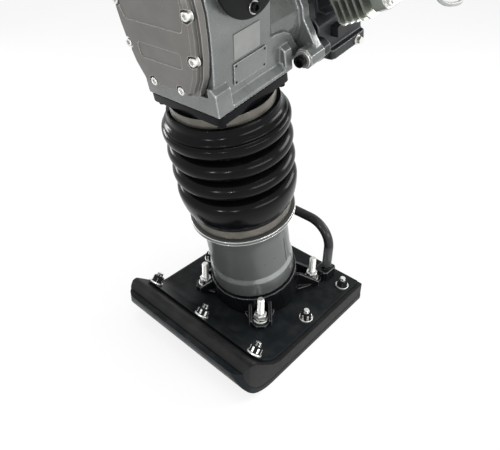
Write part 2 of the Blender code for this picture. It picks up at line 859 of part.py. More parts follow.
def make_clutch():
    """Pinion shaft with the clutch drum, the two shoes inside and the engine's crankshaft."""
    at = (0.0, 0.0, ENGINE_S)
    made = add("pinion_shaft", prism(gear_outline(PINION_TEETH, MODULE, math.radians(90)), 0.0130, 0.0300, "Y"), machined_steel(), at=at, leg=True)
    shaft = [
        (0.0080, 0.020),
        (0.0084, 0.0485),
        (0.0084, 0.0625),
        (0.0440, 0.0625),
        (0.0460, 0.0645),
        (0.0460, 0.0960),
        (0.0430, 0.0960),
        (0.0430, 0.0665),
        (0.0050, 0.0665),
    ]
    form = add("drum_form", lathe(shaft, 14), at=at, turn=(math.radians(-90), 0, 0), leg=True)
    join_all(made, [form])

    outline = arc((0, 0), 0.0415, -68, 68, 12) + arc((0, 0), 0.0255, 68, -68, 8)
    for name, side in (("left_clutch_shoe", 0), ("right_clutch_shoe", 180)):
        turn = (0, math.radians(side), 0)
        add(name, prism(outline, 0.0700, 0.0900, "Y"), cast_grey(), at=at, turn=turn, leg=True)

    shaft = [
        (0.0240, 0.0690),
        (0.0240, 0.0920),
        (0.0125, 0.0925),
        (0.0125, 0.1160),
        (0.0145, 0.1180),
        (0.0145, 0.2360),
        (0.0100, 0.2370),
        (0.0100, 0.2440),
        (0.0600, 0.2450),
        (0.0660, 0.2480),
        (0.0660, 0.2640),
        (0.0260, 0.2660),
        (0.0260, 0.2720),
        (0.0060, 0.2730),
    ]
    add("crankshaft", lathe(shaft, 12), machined_steel(), at=at, turn=(math.radians(-90), 0, 0), leg=True)


# Crankcase

def case_half(inset=0.0):
    """Half of the crankcase's front outline: (half width, height up the leg)."""
    made = [
        (0.0660 - inset, FLANGE_TOP + GAP),
        (0.0660 - inset, 0.4345),
        (0.0566 - inset, 0.4450),
        (0.0572 - inset, 0.4530),
        (0.0628 - inset, 0.4860),
        (0.0665 - inset, 0.5100),
        (0.0695 - inset, 0.5350),
        (0.0708 - inset, 0.5600),
    ]
    made += arc((0.0, 0.563), 0.0708 - inset, 12, 90, 6)
    return made


def case_body():
    """The case from its front face back, with its rear edge rounded off."""
    rings = []
    for b, inset in ((CASE_FRONT, 0.0), (0.0390, 0.0), (0.0455, 0.0040), (CASE_MID, 0.0100)):
        rings.append([(x, b, s) for x, s in mirrored(case_half(inset))])
    return skin(bmesh.new(), rings)


def rear_walls():
    """The case's two lower side walls, drawn on to the rear, with their sloping top line."""
    low = [(0.0566, 0.4345), (0.0572, 0.4530), (0.0628, 0.4860), (0.0633, 0.4885)]
    made = add("rear_walls", prism(mirrored(low), 0.0340, 0.0998, "Y"), leg=True)
    line = [
        (0.0300, 0.4300),
        (0.1000, 0.4300),
        (0.0998, 0.4494),
        (0.0922, 0.4599),
        (0.0814, 0.4771),
        (0.0680, 0.4853),
        (0.0500, 0.4885),
        (0.0300, 0.4886),
    ]
    return combine(made, add("rear_wall_line", prism(line, -0.1, 0.1, "X"), leg=True), "INTERSECT")


def mirrored(half, inset=0.0):
    """A closed outline from its right half."""
    right = list(half)
    left = [(-x, s) for x, s in reversed(right) if x > 1e-6]
    return right + left


def cover_half(inset):
    """The front cover's outline, kept inside the case's by an inset."""
    made = [
        (0.0420 - inset, 0.4556 + inset),
        (0.0465 - inset, 0.4600 + inset * 0.6),
        (0.0490 - inset, 0.4660),
        (0.0590 - inset, 0.4850),
        (0.0655 - inset, 0.5100),
        (0.0690 - inset, 0.5350),
        (0.0708 - inset, 0.5600),
    ]
    made += arc((0.0, 0.563), 0.0708 - inset, 12, 90, 6)
    return made


def room_half(inset):
    """The opening behind the front cover, clear of the screws along its rim."""
    made = [(0.0340, 0.4780), (0.0590 - inset, 0.4880), (0.0655 - inset, 0.5100), (0.0708 - inset, 0.5600)]
    made += arc((0.0, 0.563), 0.0708 - inset, 12, 90, 6)
    return made


def make_crankcase():
    made = add("crankcase", case_body(), cast_grey(), leg=True)
    forms = [rear_walls()]
    base = mirrored([(0.0660, FLANGE_TOP + GAP), (0.0660, 0.4345), (0.0572, 0.4442)])
    forms.append(add("base_rail", prism(base, -0.0600, 0.0720, "Y"), leg=True))
    front = mirrored([(0.0662, FLANGE_TOP + GAP), (0.0662, 0.4548)])
    forms.append(add("front_wall", prism(front, -0.0685, -0.0580, "Y"), leg=True))
    forms.append(add("clutch_housing", rod(0.0600, 0.040, CASE_REAR, "Y", (0, ENGINE_S), 18), leg=True))
    forms.append(add("rear_flange", rod(0.0665, 0.1040, CASE_REAR, "Y", (0, ENGINE_S), 18), leg=True))
    forms.append(add("bearing_boss", rod(0.0340, 0.035, 0.0605, "Y", (0, GEAR_S), 12), leg=True))
    for side in (-1, 1):
        tag = "l" if side > 0 else "r"
        for i, (x, s) in enumerate(LUG_BOLTS):
            start = 0.088 if i == 0 else 0.100
            forms.append(add(f"lug_barrel_{tag}_{i}", rod(0.0150, start, CASE_REAR, "Y", (side * x, s), 8), leg=True))
        web = [(side * 0.040, 0.4365), (side * 0.074, 0.4260), (side * 0.088, 0.4400), (side * 0.060, 0.5000)]
        forms.append(add(f"lug_web_{tag}", prism(web, 0.1045, 0.1170, "Y"), leg=True))
        low = FLANGE_TOP + GAP
        corner = [
            (side * 0.0520, low + 0.0004),
            (side * 0.0664, low + 0.0004),
            (side * 0.0664, 0.4610),
            (side * 0.0585, 0.4680),
            (side * 0.0520, 0.4680),
        ]
        forms.append(add(f"front_corner_{tag}", prism(corner, -0.0683, -0.0420, "Y"), leg=True))
        forms.append(add(f"rear_corner_{tag}", prism(corner, 0.0600, 0.0745, "Y"), leg=True))
        lo, hi = sorted((side * 0.030, side * 0.0760))
        forms.append(add(f"mount_boss_{tag}", rod(0.0460, lo, hi, "X", (DISC_B, DISC_S), 16), leg=True))
    join_all(made, forms)

    half = [(0.0400, 0.4700), (0.0540, 0.5000), (0.0600, 0.5300)]
    half += arc((0.0, 0.560), 0.0628, 0, 90, 4)
    cavity = [(prism(mirrored(half), -0.0660, 0.0340, "Y"), Matrix.Identity(4))]
    floor = rounded_box(-0.0470, 0.0470, -0.0470, 0.0340, 0.008, 2)
    cuts = [
        add("gear_room", merge_bodies(bmesh.new(), cavity), leg=True),
        add("neck_room", prism(floor, 0.41, 0.5000), leg=True),
        add("gear_bearing_bore", rod(0.0266, 0.030, 0.0586, "Y", (0, GEAR_S), 14), leg=True),
        add("pinion_bearing_bore", rod(0.0206, 0.030, 0.0485, "Y", (0, ENGINE_S), 12), leg=True),
        add("pinion_bore", rod(0.0100, 0.040, 0.08, "Y", (0, ENGINE_S), 8), leg=True),
        add("clutch_room", rod(0.0505, 0.0615, 0.13, "Y", (0, ENGINE_S), 16), leg=True),
    ]
    for cut in cuts:
        combine(made, cut)
    holes = []
    for x in (-1, 1):
        for bx, bs in LUG_BOLTS:
            holes.append((rod(0.0060, 0.06, 0.13, "Y", (x * bx, bs), 6), Matrix.Identity(4)))
    combine(made, add("case_holes", merge_bodies(bmesh.new(), holes), leg=True))

    gasket = mirrored(cover_half(0.0))
    made = add("cover_gasket", prism(gasket, -0.0647, CASE_FRONT - GAP, "Y"), black_plastic(), leg=True)
    combine(made, add("gasket_hole", prism(mirrored(room_half(0.0175)), -0.08, -0.05, "Y"), leg=True))

    made = add("front_cover", prism(mirrored(cover_half(0.0003)), COVER_FLANGE, -0.0650, "Y"), cover_grey(), leg=True)
    raised = add("cover_raised", prism(mirrored(cover_half(0.0050)), COVER_FACE, -0.070, "Y"), leg=True)
    round_edges(raised, 0.0035, 1, 60.0)
    join_all(made, [raised])
    pockets = []
    for x, s in COVER_SCREWS:
        for side in (-1, 1):
            pockets.append((rod(0.0083, -0.10, -0.0765, "Y", (side * x, s), 7), Matrix.Identity(4)))
    combine(made, add("screw_pockets", merge_bodies(bmesh.new(), pockets), leg=True))
    upper = [(0.0500, 0.5425), (0.0560, 0.5600), (0.0555, 0.5900), (0.0400, 0.6080), (0.0, 0.6100)]
    lower = [(0.0370, 0.4960), (0.0390, 0.5160)]
    panels = [
        (prism(fillet(mirrored(upper), 0.004, 1), -0.10, COVER_FACE + 0.0009, "Y"), Matrix.Identity(4)),
        (prism(fillet(mirrored(lower), 0.003, 1), -0.10, COVER_FACE + 0.0009, "Y"), Matrix.Identity(4)),
    ]
    combine(made, add("cover_panels", merge_bodies(bmesh.new(), panels), leg=True))
    inside = [(prism(mirrored(room_half(0.0175)), -0.0790, -0.05, "Y"), Matrix.Identity(4))]
    combine(made, add("cover_inside", merge_bodies(bmesh.new(), inside), leg=True))

    plate = rounded_box(-0.0290, 0.0300, -0.0150, 0.0150, 0.0015, 1)
    tilt = math.atan2(0.0056, 0.0330)
    add("data_plate", prism(plate, 0.0004, 0.0020, "X"), machined_steel(), at=(0.0600, 0.0, 0.4695), turn=(0, tilt, 0), leg=True)


# Engine

def tilted(t, height, b):
    """A point on the lying cylinder: t out from the crankshaft, height square to it."""
    c, s = math.cos(CYL_TILT), math.sin(CYL_TILT)
    return (t * c - height * s, b, ENGINE_S + t * s + height * c)


def make_engine():
    """Small single-cylinder engine bolted to the crankcase's rear flange."""
    made = add("engine_block", rod(0.0640, CASE_REAR + GAP, 0.134, "Y", (0, ENGINE_S), 18), engine_grey(), leg=True)
    forms = []
    body = fillet(
        [(-0.064, 0.412), (0.070, 0.412), (0.070, 0.466), (0.060, 0.480), (0.052, 0.560), (-0.045, 0.560), (-0.064, 0.535)],
        0.010,
        2,
    )
    forms.append(add("block_form", prism(body, 0.130, ENGINE_REAR, "Y"), leg=True))
    base = rounded_box(-0.078, 0.078, 0.150, 0.2355, 0.006, 2)
    forms.append(add("block_base", prism(base, 0.4097, 0.4247), leg=True))
    seat = [[(t, b, h) for b, h in rounded_box(0.144, 0.226, -0.040, 0.040, 0.010, 1)] for t in (0.020, 0.0777)]
    turned = Matrix.Translation((0, 0, ENGINE_S)) @ Matrix.Rotation(-CYL_TILT, 4, "Y")
    forms.append(add("cylinder_seat", merge_bodies(bmesh.new(), [(stack(seat), turned)]), leg=True))
    for side in (-1, 1):
        for i, (x, s) in enumerate(LUG_BOLTS):
            forms.append(add(f"block_lug_{side}_{i}", rod(0.0140, CASE_REAR + GAP, 0.134, "Y", (side * x, s), 8), leg=True))
            web = [(side * 0.03, s - 0.010), (side * x, s - 0.010), (side * x, s + 0.010), (side * 0.03, s + 0.010)]
            forms.append(add(f"block_web_{side}_{i}", prism(web, CASE_REAR + GAP, 0.1335, "Y"), leg=True))
    join_all(made, forms)
    combine(made, add("block_bore", rod(0.0155, 0.10, 0.26, "Y", (0, ENGINE_S), 14), leg=True))
    matrix = Matrix.Translation((0, 0, ENGINE_S)) @ Matrix.Rotation(-CYL_TILT, 4, "Y")
    rings = []
    core = rounded_box(0.144, 0.226, -0.036, 0.036, 0.010, 1)
    fin = rounded_box(0.138, 0.232, -0.0615, 0.052, 0.007, 1)
    t = 0.078
    rings.append([(t, b, h) for b, h in core])
    for i in range(5):
        start = t + 0.004 + i * 0.0105
        rings.append([(start, b, h) for b, h in core])
        rings.append([(start + 0.0005, b, h) for b, h in fin])
        rings.append([(start + 0.0038, b, h) for b, h in fin])
        rings.append([(start + 0.0043, b, h) for b, h in core])
    rings.append([(0.138, b, h) for b, h in core])
    barrel = merge_bodies(bmesh.new(), [(skin(bmesh.new(), rings), matrix)])
    made = add("cylinder", barrel, cast_alloy(), leg=True)
    ports = [
        add("intake_port", rod(0.0165, 0.560, 0.5992, "Z", INTAKE, 10), leg=True),
        add("exhaust_port", rod(0.0125, 0.555, 0.5935, "Z", EXHAUST, 8), leg=True),
    ]
    join_all(made, ports)

    head = rounded_box(0.139, 0.231, -0.058, 0.050, 0.010, 2)
    cover = rounded_box(0.146, 0.224, -0.040, 0.040, 0.014, 2)
    rings = [
        [(0.1383, b, h) for b, h in head],
        [(0.1560, b, h) for b, h in head],
        [(0.1562, b, h) for b, h in cover],
        [(0.1740, b, h) for b, h in cover],
        [(0.1770, 0.185 + (b - 0.185) * 0.9, h * 0.9) for b, h in cover],
    ]
    head_bm = merge_bodies(bmesh.new(), [(skin(bmesh.new(), rings), matrix)])
    add("cylinder_head", head_bm, cast_alloy(), leg=True)

    plug = [
        (0.0062, 0.0),
        (0.0062, 0.008),
        (0.0095, 0.009),
        (0.0100, 0.026),
        (0.0060, 0.032),
    ]
    end = Vector(tilted(0.1475, 0.050 + 2 * GAP, 0.170))
    up = Matrix.Translation(end) @ Matrix.Rotation(-CYL_TILT, 4, "Y")
    add("spark_plug_cap", merge_bodies(bmesh.new(), [(lathe(plug, 12), up)]), black_plastic(), leg=True)

    made = add("fan_housing", rod(0.0860, ENGINE_REAR + GAP, 0.2860, "Y", (0, ENGINE_S), 20), black_paint(), leg=True)
    combine(made, add("fan_room", rod(0.0830, 0.2400, 0.30, "Y", (0, ENGINE_S), 20), leg=True))
    combine(made, add("fan_shaft_hole", rod(0.0160, 0.22, 0.30, "Y", (0, ENGINE_S), 10), leg=True))

    dome = [
        (0.0860, 0.2863),
        (0.0860, 0.2900),
        (0.0700, 0.2905),
        (0.0690, 0.3040),
        (0.0600, 0.3120),
        (0.0200, 0.3170),
    ]
    made = add("recoil_starter", lathe(dome, 20), black_plastic(), at=(0, 0, ENGINE_S), turn=(math.radians(-90), 0, 0), leg=True)
    room = add("starter_room", rod(0.0650, 0.2800, 0.3060, "Y", (0, ENGINE_S), 14), leg=True)
    combine(made, room)
    slots = []
    for i in range(5):
        a = 2 * math.pi * (i + 0.5) / 5
        slot = [(0.026, -0.0030), (0.056, -0.0048), (0.056, 0.0048), (0.026, 0.0030)]
        slots.append((prism(slot, 0.29, 0.33, "Y"), Matrix.Rotation(a, 4, "Y")))
    combine(made, add("starter_slots", merge_bodies(bmesh.new(), slots), at=(0, 0, ENGINE_S), leg=True))
    spout = add("rope_spout", lathe([(0.0085, 0.060), (0.0085, 0.0835)], 10), at=(0, 0.2975, ENGINE_S), turn=(0, math.radians(30), 0), leg=True)
    join_all(made, [spout])
    combine(made, add("rope_hole", lathe([(0.0032, 0.040), (0.0032, 0.10)], 8), at=(0, 0.2975, ENGINE_S), turn=(0, math.radians(30), 0), leg=True))
    grip_profile = [
        (0.0024, 0.052),
        (0.0024, 0.0842),
        (0.0070, 0.0845),
        (0.0085, 0.0900),
        (0.0085, 0.1060),
    ]
    made = add("starter_grip", lathe(grip_profile, 8), black_plastic(), at=(0, 0.2975, ENGINE_S), turn=(0, math.radians(30), 0), leg=True)
    bar = sweep_tube([(0, -0.022, 0.100), (0, 0.0, 0.0985), (0, 0.022, 0.100)], 0.0075, 8)
    bar = add("grip_bar", bar, at=(0, 0.2975, ENGINE_S), turn=(0, math.radians(30), 0), leg=True)
    join_all(made, [bar])

    rings = [round_ring(0.0075, 0.0), round_ring(0.0075, 0.0018), hex_ring(0.0100, 0.0018), hex_ring(0.0100, 0.0080)]
    add("drain_bolt", stack(rings), zinc(), at=(0.0783, 0.2110, 0.4168), turn=(0, math.radians(90), 0), leg=True)
    cap = rounded_box(-0.0095, 0.0095, -0.0085, 0.0085, 0.002, 1)
    add("oil_filler_cap", prism(cap, 0.0, 0.0120, "X"), black_plastic(), at=(0.0703, 0.1670, 0.4500), leg=True)


def make_intake_and_exhaust():
    """Muffler with its guard, carburettor with its levers, and air cleaner, all above the cylinder."""
    body = rounded_box(0.030, 0.138, 0.132, 0.184, 0.012, 1)
    made = add("muffler", prism(body, 0.640, 0.690), engine_grey(), leg=True)
    round_edges(made, 0.006, 1, 60.0)
    forms = [
        add("exhaust_pipe", rod(0.0105, 0.5938, 0.660, "Z", EXHAUST, 8), leg=True),
        add("pipe_flange", rod(0.0150, 0.5938, 0.5985, "Z", EXHAUST, 8), leg=True),
        add("outlet_pipe", rod(0.0075, 0.13, 0.152, "X", (0.158, 0.665), 8), leg=True),
    ]
    join_all(made, forms)
    combine(made, add("outlet_bore", rod(0.0055, 0.12, 0.17, "X", (0.158, 0.665), 8), leg=True))

    guard = rounded_box(0.026, 0.142, 0.122, 0.188, 0.010, 1)
    made = add("muffler_guard", prism(guard, 0.6940, 0.6965), black_paint(), leg=True)
    forms = [add("guard_skirt", prism(rounded_box(0.028, 0.140, 0.1220, 0.1245, 0.0, 1), 0.632, 0.6955), leg=True)]
    for x in (0.054, 0.114):
        forms.append(add(f"guard_foot_{x}", prism(rounded_box(x - 0.005, x + 0.005, 0.150, 0.166, 0.0, 1), 0.6903, 0.695), leg=True))
    join_all(made, forms)
    slots = []
    for x in (0.052, 0.116):
        slots.append((prism(rounded_box(x - 0.0045, x + 0.0045, 0.134, 0.176, 0.004, 1), 0.692, 0.71), Matrix.Identity(4)))
        slots.append((prism(rounded_box(x - 0.0045, x + 0.0045, 0.644, 0.686, 0.004, 1), 0.10, 0.13, "Y"), Matrix.Identity(4)))
    combine(made, add("guard_slots", merge_bodies(bmesh.new(), slots), leg=True))

    x, b = INTAKE
    throat = [(0.0170, 0.0), (0.0170, 0.004), (0.0120, 0.005), (0.0120, 0.034), (0.0170, 0.035), (0.0170, 0.0392)]
    made = add("carburettor", lathe(throat, 10), cast_alloy(), at=(x, b, 0.5995), leg=True)
    bowl = [(0.0150, -0.0235), (0.0165, -0.0205), (0.0165, -0.008), (0.0140, -0.004)]
    bowl = add("float_bowl", lathe(bowl, 8), at=(x, 0.2280, 0.6280), leg=True)
    body = rounded_box(x - 0.016, x + 0.016, 0.196, CARB_REAR, 0.004, 1)
    join_all(made, [add("carb_body", prism(body, 0.6160, 0.6360), leg=True), bowl])

    body = rounded_box(x - 0.048, x + 0.048, 0.1900, 0.2750, 0.014, 2)
    add("air_cleaner_base", prism(body, 0.6390, 0.6530), black_plastic(), leg=True)
    body = rounded_box(x - 0.046, x + 0.046, 0.1920, 0.2730, 0.013, 1)
    made = add("air_cleaner_cover", prism(body, 0.6533, 0.7030), black_plastic(), leg=True)
    round_edges(made, 0.006, 1, 60.0)
    room = prism(rounded_box(x - 0.043, x + 0.043, 0.195, 0.270, 0.011, 2), 0.64, 0.6980)
    combine(made, add("cleaner_room", room, leg=True))
    combine(made, add("knob_hole", rod(0.0040, 0.68, 0.72, "Z", (x, 0.2325), 8), leg=True))
    element = prism(rounded_box(x - 0.036, x + 0.036, 0.202, 0.263, 0.010, 2), 0.6536, 0.6900)
    element = add("air_filter", element, red_plastic(), leg=True)
    combine(element, add("filter_hole", rod(0.0060, 0.64, 0.72, "Z", (x, 0.2325), 8), leg=True))
    knob = [(0.0034, 0.664), (0.0034, 0.7033), (0.0090, 0.7033), (0.0100, 0.7060), (0.0100, 0.7110), (0.0080, 0.7130)]
    made = add("cleaner_knob", lathe([(r, s - 0.70) for r, s in knob], 10), black_plastic(), at=(x, 0.2325, 0.70), leg=True)
    wing = prism(rounded_box(-0.019, 0.019, -0.0025, 0.0025, 0.002, 1), 0.0055, 0.0160)
    join_all(made, [add("knob_wings", wing, at=(x, 0.2325, 0.70), leg=True)])

    lever = fillet([(-0.005, -0.005), (0.034, -0.004), (0.034, 0.004), (-0.005, 0.005)], 0.003, 2)
    add("choke_lever", prism(lever, 0.0, 0.0030, "Y"), black_plastic(), at=(x + 0.004, CARB_REAR + GAP, 0.6210), leg=True)
    at = (x + 0.0163, 0.2260, 0.6260)
    made = add("fuel_valve", rod(0.0050, 0.0, 0.008, "X", (0, 0), 12), red_plastic(), at=at, leg=True)
    blade = fillet([(-0.0040, -0.018), (0.0040, -0.018), (0.0040, 0.004), (-0.0040, 0.004)], 0.002, 1)
    join_all(made, [add("valve_blade", prism(blade, 0.004, 0.008, "X"), at=at, leg=True)])


# Handle

def make_handle():
    """Tube frame round the machine on two rubber mounts."""
    yf, zf = FRONT_BAR
    yr, zr = REAR_BAR
    x = HANDLE_X
    upper = [
        (0.0, yf, zf),
        (x, yf, zf),
        (x, yr, zr),
        (-x, yr, zr),
        (-x, yf, zf),
        (0.0, yf, zf),
    ]
    loop = bent_path(upper, 0.060, 4)[:-1]
    made = add("handle_frame", sweep_tube(loop, TUBE, 8, closed=True), handle_grey())
    forms = []
    for side in (-1, 1):
        tag = "l" if side > 0 else "r"
        low, high = sorted((side * 0.1108, side * 0.1168))
        lug = prism(rounded_box(-0.017, 0.017, 0.640, 0.690, 0.006, 1), low, high, "X")
        forms.append(add(f"strut_lug_{tag}", lug, leg=True))
        start = leg_point(side * 0.1260, 0.0, 0.650)
        strut = bent_path([start, leg_point(side * 0.1260, 0.0, 0.740), (side * x, -0.110, side_z(-0.110))], 0.060, 3)
        forms.append(add(f"handle_strut_{tag}", sweep_tube(strut, TUBE - 0.0015, 8)))
    for y in CROSS_BARS:
        forms.append(add(f"cross_bar_{y}", sweep_tube([(-x, y, side_z(y)), (x, y, side_z(y))], 0.0110, 8)))
    join_all(made, forms)

    for side, name in ((1, "left_mount_plate"), (-1, "right_mount_plate")):
        low, high = sorted((side * 0.1045, side * 0.1105))
        outline = arc((MOUNT_B, MOUNT_S), 0.0285, 140, 400, 10) + [(0.018, 0.690), (-0.018, 0.690)]
        made = add(name, prism(outline, low, high, "X"), black_paint(), leg=True)
        low, high = sorted((side * 0.0765, side * 0.1060))
        join_all(made, [add(f"mount_stud_{side}", rod(0.0052, low, high, "X", (MOUNT_B, MOUNT_S), 8), leg=True)])

    block = [
        (0.0285, 0.0790),
        (0.0290, 0.0830),
        (0.0255, 0.0905),
        (0.0290, 0.0975),
        (0.0290, 0.1042),
    ]
    for side, name in ((1, "left_rubber_mount"), (-1, "right_rubber_mount")):
        low, high = sorted((side * 0.0763, side * 0.0818))
        disc = rod(DISC_R, low, high, "X", (DISC_B, DISC_S), 24)
        made = add(name, disc, rubber_black(), leg=True)
        turn = (0, math.radians(90 * side), 0)
        body = add(f"rubber_block_{side}", lathe(block, 10), at=(0, MOUNT_B, MOUNT_S), turn=turn, leg=True)
        join_all(made, [body])
        low, high = sorted((side * 0.070, side * 0.110))
        combine(made, add(f"mount_bore_{side}", rod(0.0060, low, high, "X", (MOUNT_B, MOUNT_S), 8), leg=True))

    wheel = [(TUBE + 0.0006, -0.055), (0.0250, -0.055), (0.0270, -0.052), (0.0270, 0.052), (0.0250, 0.055), (TUBE + 0.0006, 0.055)]
    add("transport_roller", lathe(wheel, 16, True), rubber_black(), at=(0, yf, zf), turn=(0, math.radians(90), 0))
    grip = [(TUBE + 0.0004, -0.110), (0.0185, -0.110), (0.0195, -0.106), (0.0175, -0.098), (0.0175, 0.098), (0.0195, 0.106), (0.0185, 0.110), (TUBE + 0.0004, 0.110)]
    add("hand_grip", lathe(grip, 14, True), rubber_black(), at=(0, yr, zr), turn=(0, math.radians(90), 0))


def make_throttle():
    """Clamp and lever on the left side tube, and the cable down to the carburettor."""
    z = side_z(THROTTLE_Y)
    at = (HANDLE_X, THROTTLE_Y, z)
    ring = [(0.0160, -0.013), (0.0197, -0.013), (0.0197, 0.013), (0.0160, 0.013)]
    made = add("throttle_bracket", lathe(ring, 14, True), black_plastic(), at=at, turn=(math.radians(90), 0, 0))
    block = add("lever_block", prism(rounded_box(-0.009, 0.009, -0.015, 0.015, 0.003, 1), 0.0172, 0.0360), at=at)
    join_all(made, [block])
    combine(made, add("lever_slot", prism(rounded_box(-0.0024, 0.0024, -0.02, 0.02, 0.0, 1), 0.0240, 0.05), at=at))
    combine(made, add("lever_bore", rod(0.0025, -0.02, 0.02, "X", (0.0, 0.0310), 8), at=at))

    outline = arc((0.0, 0.0), 0.0045, 95, 265, 5) + [(0.040, 0.0010), (0.074, 0.0080), (0.076, 0.0160), (0.040, 0.0105)]
    place = (HANDLE_X, THROTTLE_Y, z + 0.0310)
    made = add("throttle_lever", prism(outline, -0.0020, 0.0020, "X"), black_plastic(), at=place)
    forms = [
        add("lever_pin", rod(0.0020, -0.0088, 0.0088, "X", (0, 0), 8), at=place),
        add("lever_pad", prism(rounded_box(-0.009, 0.009, 0.050, 0.080, 0.004, 1), 0.0085, 0.0145), at=place),
    ]
    join_all(made, forms)

    x, b = INTAKE
    end = (x - 0.008, CARB_REAR + GAP, 0.6290)
    route = [
        (HANDLE_X, THROTTLE_Y - 0.0155, z + 0.0207),
        (HANDLE_X, THROTTLE_Y - 0.0215, z + 0.0207),
        (HANDLE_X + 0.001, THROTTLE_Y - 0.0340, z + 0.0205),
        (0.206, 0.205, 0.942),
        (0.219, 0.145, 0.890),
        (0.221, 0.090, 0.800),
        (0.217, 0.056, 0.700),
        (0.207, 0.060, 0.615),
        (0.200, 0.104, 0.5660),
        (0.198, 0.160, 0.5490),
        (0.190, 0.208, 0.5530),
        (0.158, 0.222, 0.6050),
        (0.112, 0.193, 0.6650),
        leg_point(end[0] + 0.002, end[1] + 0.022, end[2] - 0.0005),
        leg_point(end[0], end[1] + 0.008, end[2]),
        leg_point(*end),
    ]
    cord("throttle_cable", route, CABLE_R, finish("cable_grey", (0.42, 0.43, 0.40), 0.45))


def make_tank():
    """Fuel tank that hangs on the cross bars, its cap and the hose to the carburettor."""
    low = 0.845
    body = rounded_box(-0.115, 0.115, -0.012, 0.152, 0.030, 3)
    rings = []
    for rise, grow in ((0.0, -0.022), (0.006, -0.008), (0.020, 0.0), (0.086, 0.0), (0.098, -0.006), (0.104, -0.018)):
        ring = []
        for px, py in body:
            sx = 1 + grow / 0.115
            sy = 1 + grow / 0.082
            ring.append((px * sx, 0.070 + (py - 0.070) * sy, low + rise))
        rings.append(ring)
    made = add("fuel_tank", skin(bmesh.new(), rings), black_plastic())
    forms = []
    for x in (-0.070, 0.070):
        for tag, y, start, stop in (("f", CROSS_BARS[0], -0.040, 0.005), ("r", CROSS_BARS[1], 0.140, 0.180)):
            rest = side_z(y) + 0.0110 + GAP
            tab = prism(rounded_box(x - 0.014, x + 0.014, start, stop, 0.003, 1), rest, rest + 0.006)
            forms.append(add(f"tank_tab_{tag}_{x}", tab))
    forms.append(add("tank_neck", rod(0.0200, 0.94, 0.9580, "Z", (0.045, 0.055), 16)))
    forms.append(add("tank_spout", rod(0.0045, low - 0.008, low + 0.006, "Z", (0.070, 0.105), 10)))
    join_all(made, forms)
    combine(made, add("tank_room", rod(0.0160, 0.870, 0.99, "Z", (0.045, 0.055), 16)))
    cap = [(0.0150, -0.015), (0.0150, -0.0007), (0.0245, -0.0007), (0.0260, 0.001), (0.0260, 0.012), (0.0240, 0.014)]
    add("fuel_cap", lathe(cap, 14), black_plastic(), at=(0.045, 0.055, 0.959))
    x, b = INTAKE
    end = (x + 0.0163, 0.2040, 0.6260)
    route = [
        (0.070, 0.105, low - 0.0086),
        (0.070, 0.105, low - 0.0130),
        (0.0705, 0.105, low - 0.0200),
        (0.082, 0.102, 0.806),
        (0.114, 0.094, 0.789),
        (0.140, 0.086, 0.764),
        (0.149, 0.081, 0.730),
        (0.141, 0.079, 0.702),
        leg_point(end[0] + 0.020, end[1], end[2] + 0.0010),
        leg_point(end[0] + 0.007, end[1], end[2]),
        leg_point(*end),
    ]
    cord("fuel_hose", route, HOSE_R, rubber_black())


def clear_scene():
    for old in list(bpy.data.objects):
        bpy.data.objects.remove(old, do_unlink=True)


def main():
    clear_scene()
    leg_frame()
    make_shoe()
    make_foot()
    make_leg()
    make_guide_cylinder()
    make_crank_gear()
    make_rod()
    make_clutch()
    make_crankcase()
    make_engine()
    make_intake_and_exhaust()
    make_handle()
    make_throttle()
    make_tank()


main()
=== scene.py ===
"""Looks of the tamping rammer: finishes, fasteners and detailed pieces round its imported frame."""

import logging
import math
from collections.abc import Sequence
from dataclasses import dataclass, field
from enum import Enum

import bmesh
import bpy
from mathutils import Matrix, Vector


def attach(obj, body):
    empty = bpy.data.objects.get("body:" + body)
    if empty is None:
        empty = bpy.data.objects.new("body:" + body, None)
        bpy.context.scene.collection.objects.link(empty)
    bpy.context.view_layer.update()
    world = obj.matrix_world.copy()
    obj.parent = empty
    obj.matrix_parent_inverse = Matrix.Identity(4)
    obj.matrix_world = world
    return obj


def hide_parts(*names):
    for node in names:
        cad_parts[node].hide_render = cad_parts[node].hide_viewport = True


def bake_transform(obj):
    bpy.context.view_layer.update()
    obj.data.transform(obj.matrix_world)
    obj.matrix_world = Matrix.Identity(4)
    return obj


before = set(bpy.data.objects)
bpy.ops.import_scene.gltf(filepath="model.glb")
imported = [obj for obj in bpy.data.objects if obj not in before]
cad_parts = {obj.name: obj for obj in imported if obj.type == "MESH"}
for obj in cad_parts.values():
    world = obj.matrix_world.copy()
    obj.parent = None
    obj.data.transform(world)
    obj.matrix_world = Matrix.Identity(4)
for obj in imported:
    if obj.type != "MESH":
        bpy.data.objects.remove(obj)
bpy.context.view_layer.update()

log = logging.getLogger("rammer")

Colour = tuple[float, float, float]
Point = Sequence[float]

# The leg leans forward from this point on top of the shoe's pad.
LEAN = math.radians(12.0)
LEG_FOOT = Vector((0.0, 0.0096, 0.033))
LEG = Matrix.Translation(LEG_FOOT) @ Matrix.Rotation(LEAN, 4, "X")
ENGINE_S = 0.491
SHAFT = LEG @ Matrix.Translation((0.0, 0.0, ENGINE_S)) @ Matrix.Rotation(math.radians(-90), 4, "X")
OUT_LEFT = Matrix.Rotation(math.radians(90), 4, "Y")
OUT_FRONT = Matrix.Rotation(math.radians(90), 4, "X")

# Ends of the handle's side tubes: distance along the machine and height.
HANDLE_FRONT = (-0.190, 0.905)
HANDLE_REAR = (0.440, 0.940)
LEVER_Y = 0.300

COAT_ROUGHNESS = 0.08
BUMP_STRENGTH = 0.6
DUST_COLOUR = (0.23, 0.215, 0.19)
DUST_ROUGHNESS = 0.35
EDGE_MARK_SIZE = 0.004
EDGE_MARK_FADE = 0.20
EDGE_REACH = 0.0012

HEXAGON_POINTS = 36

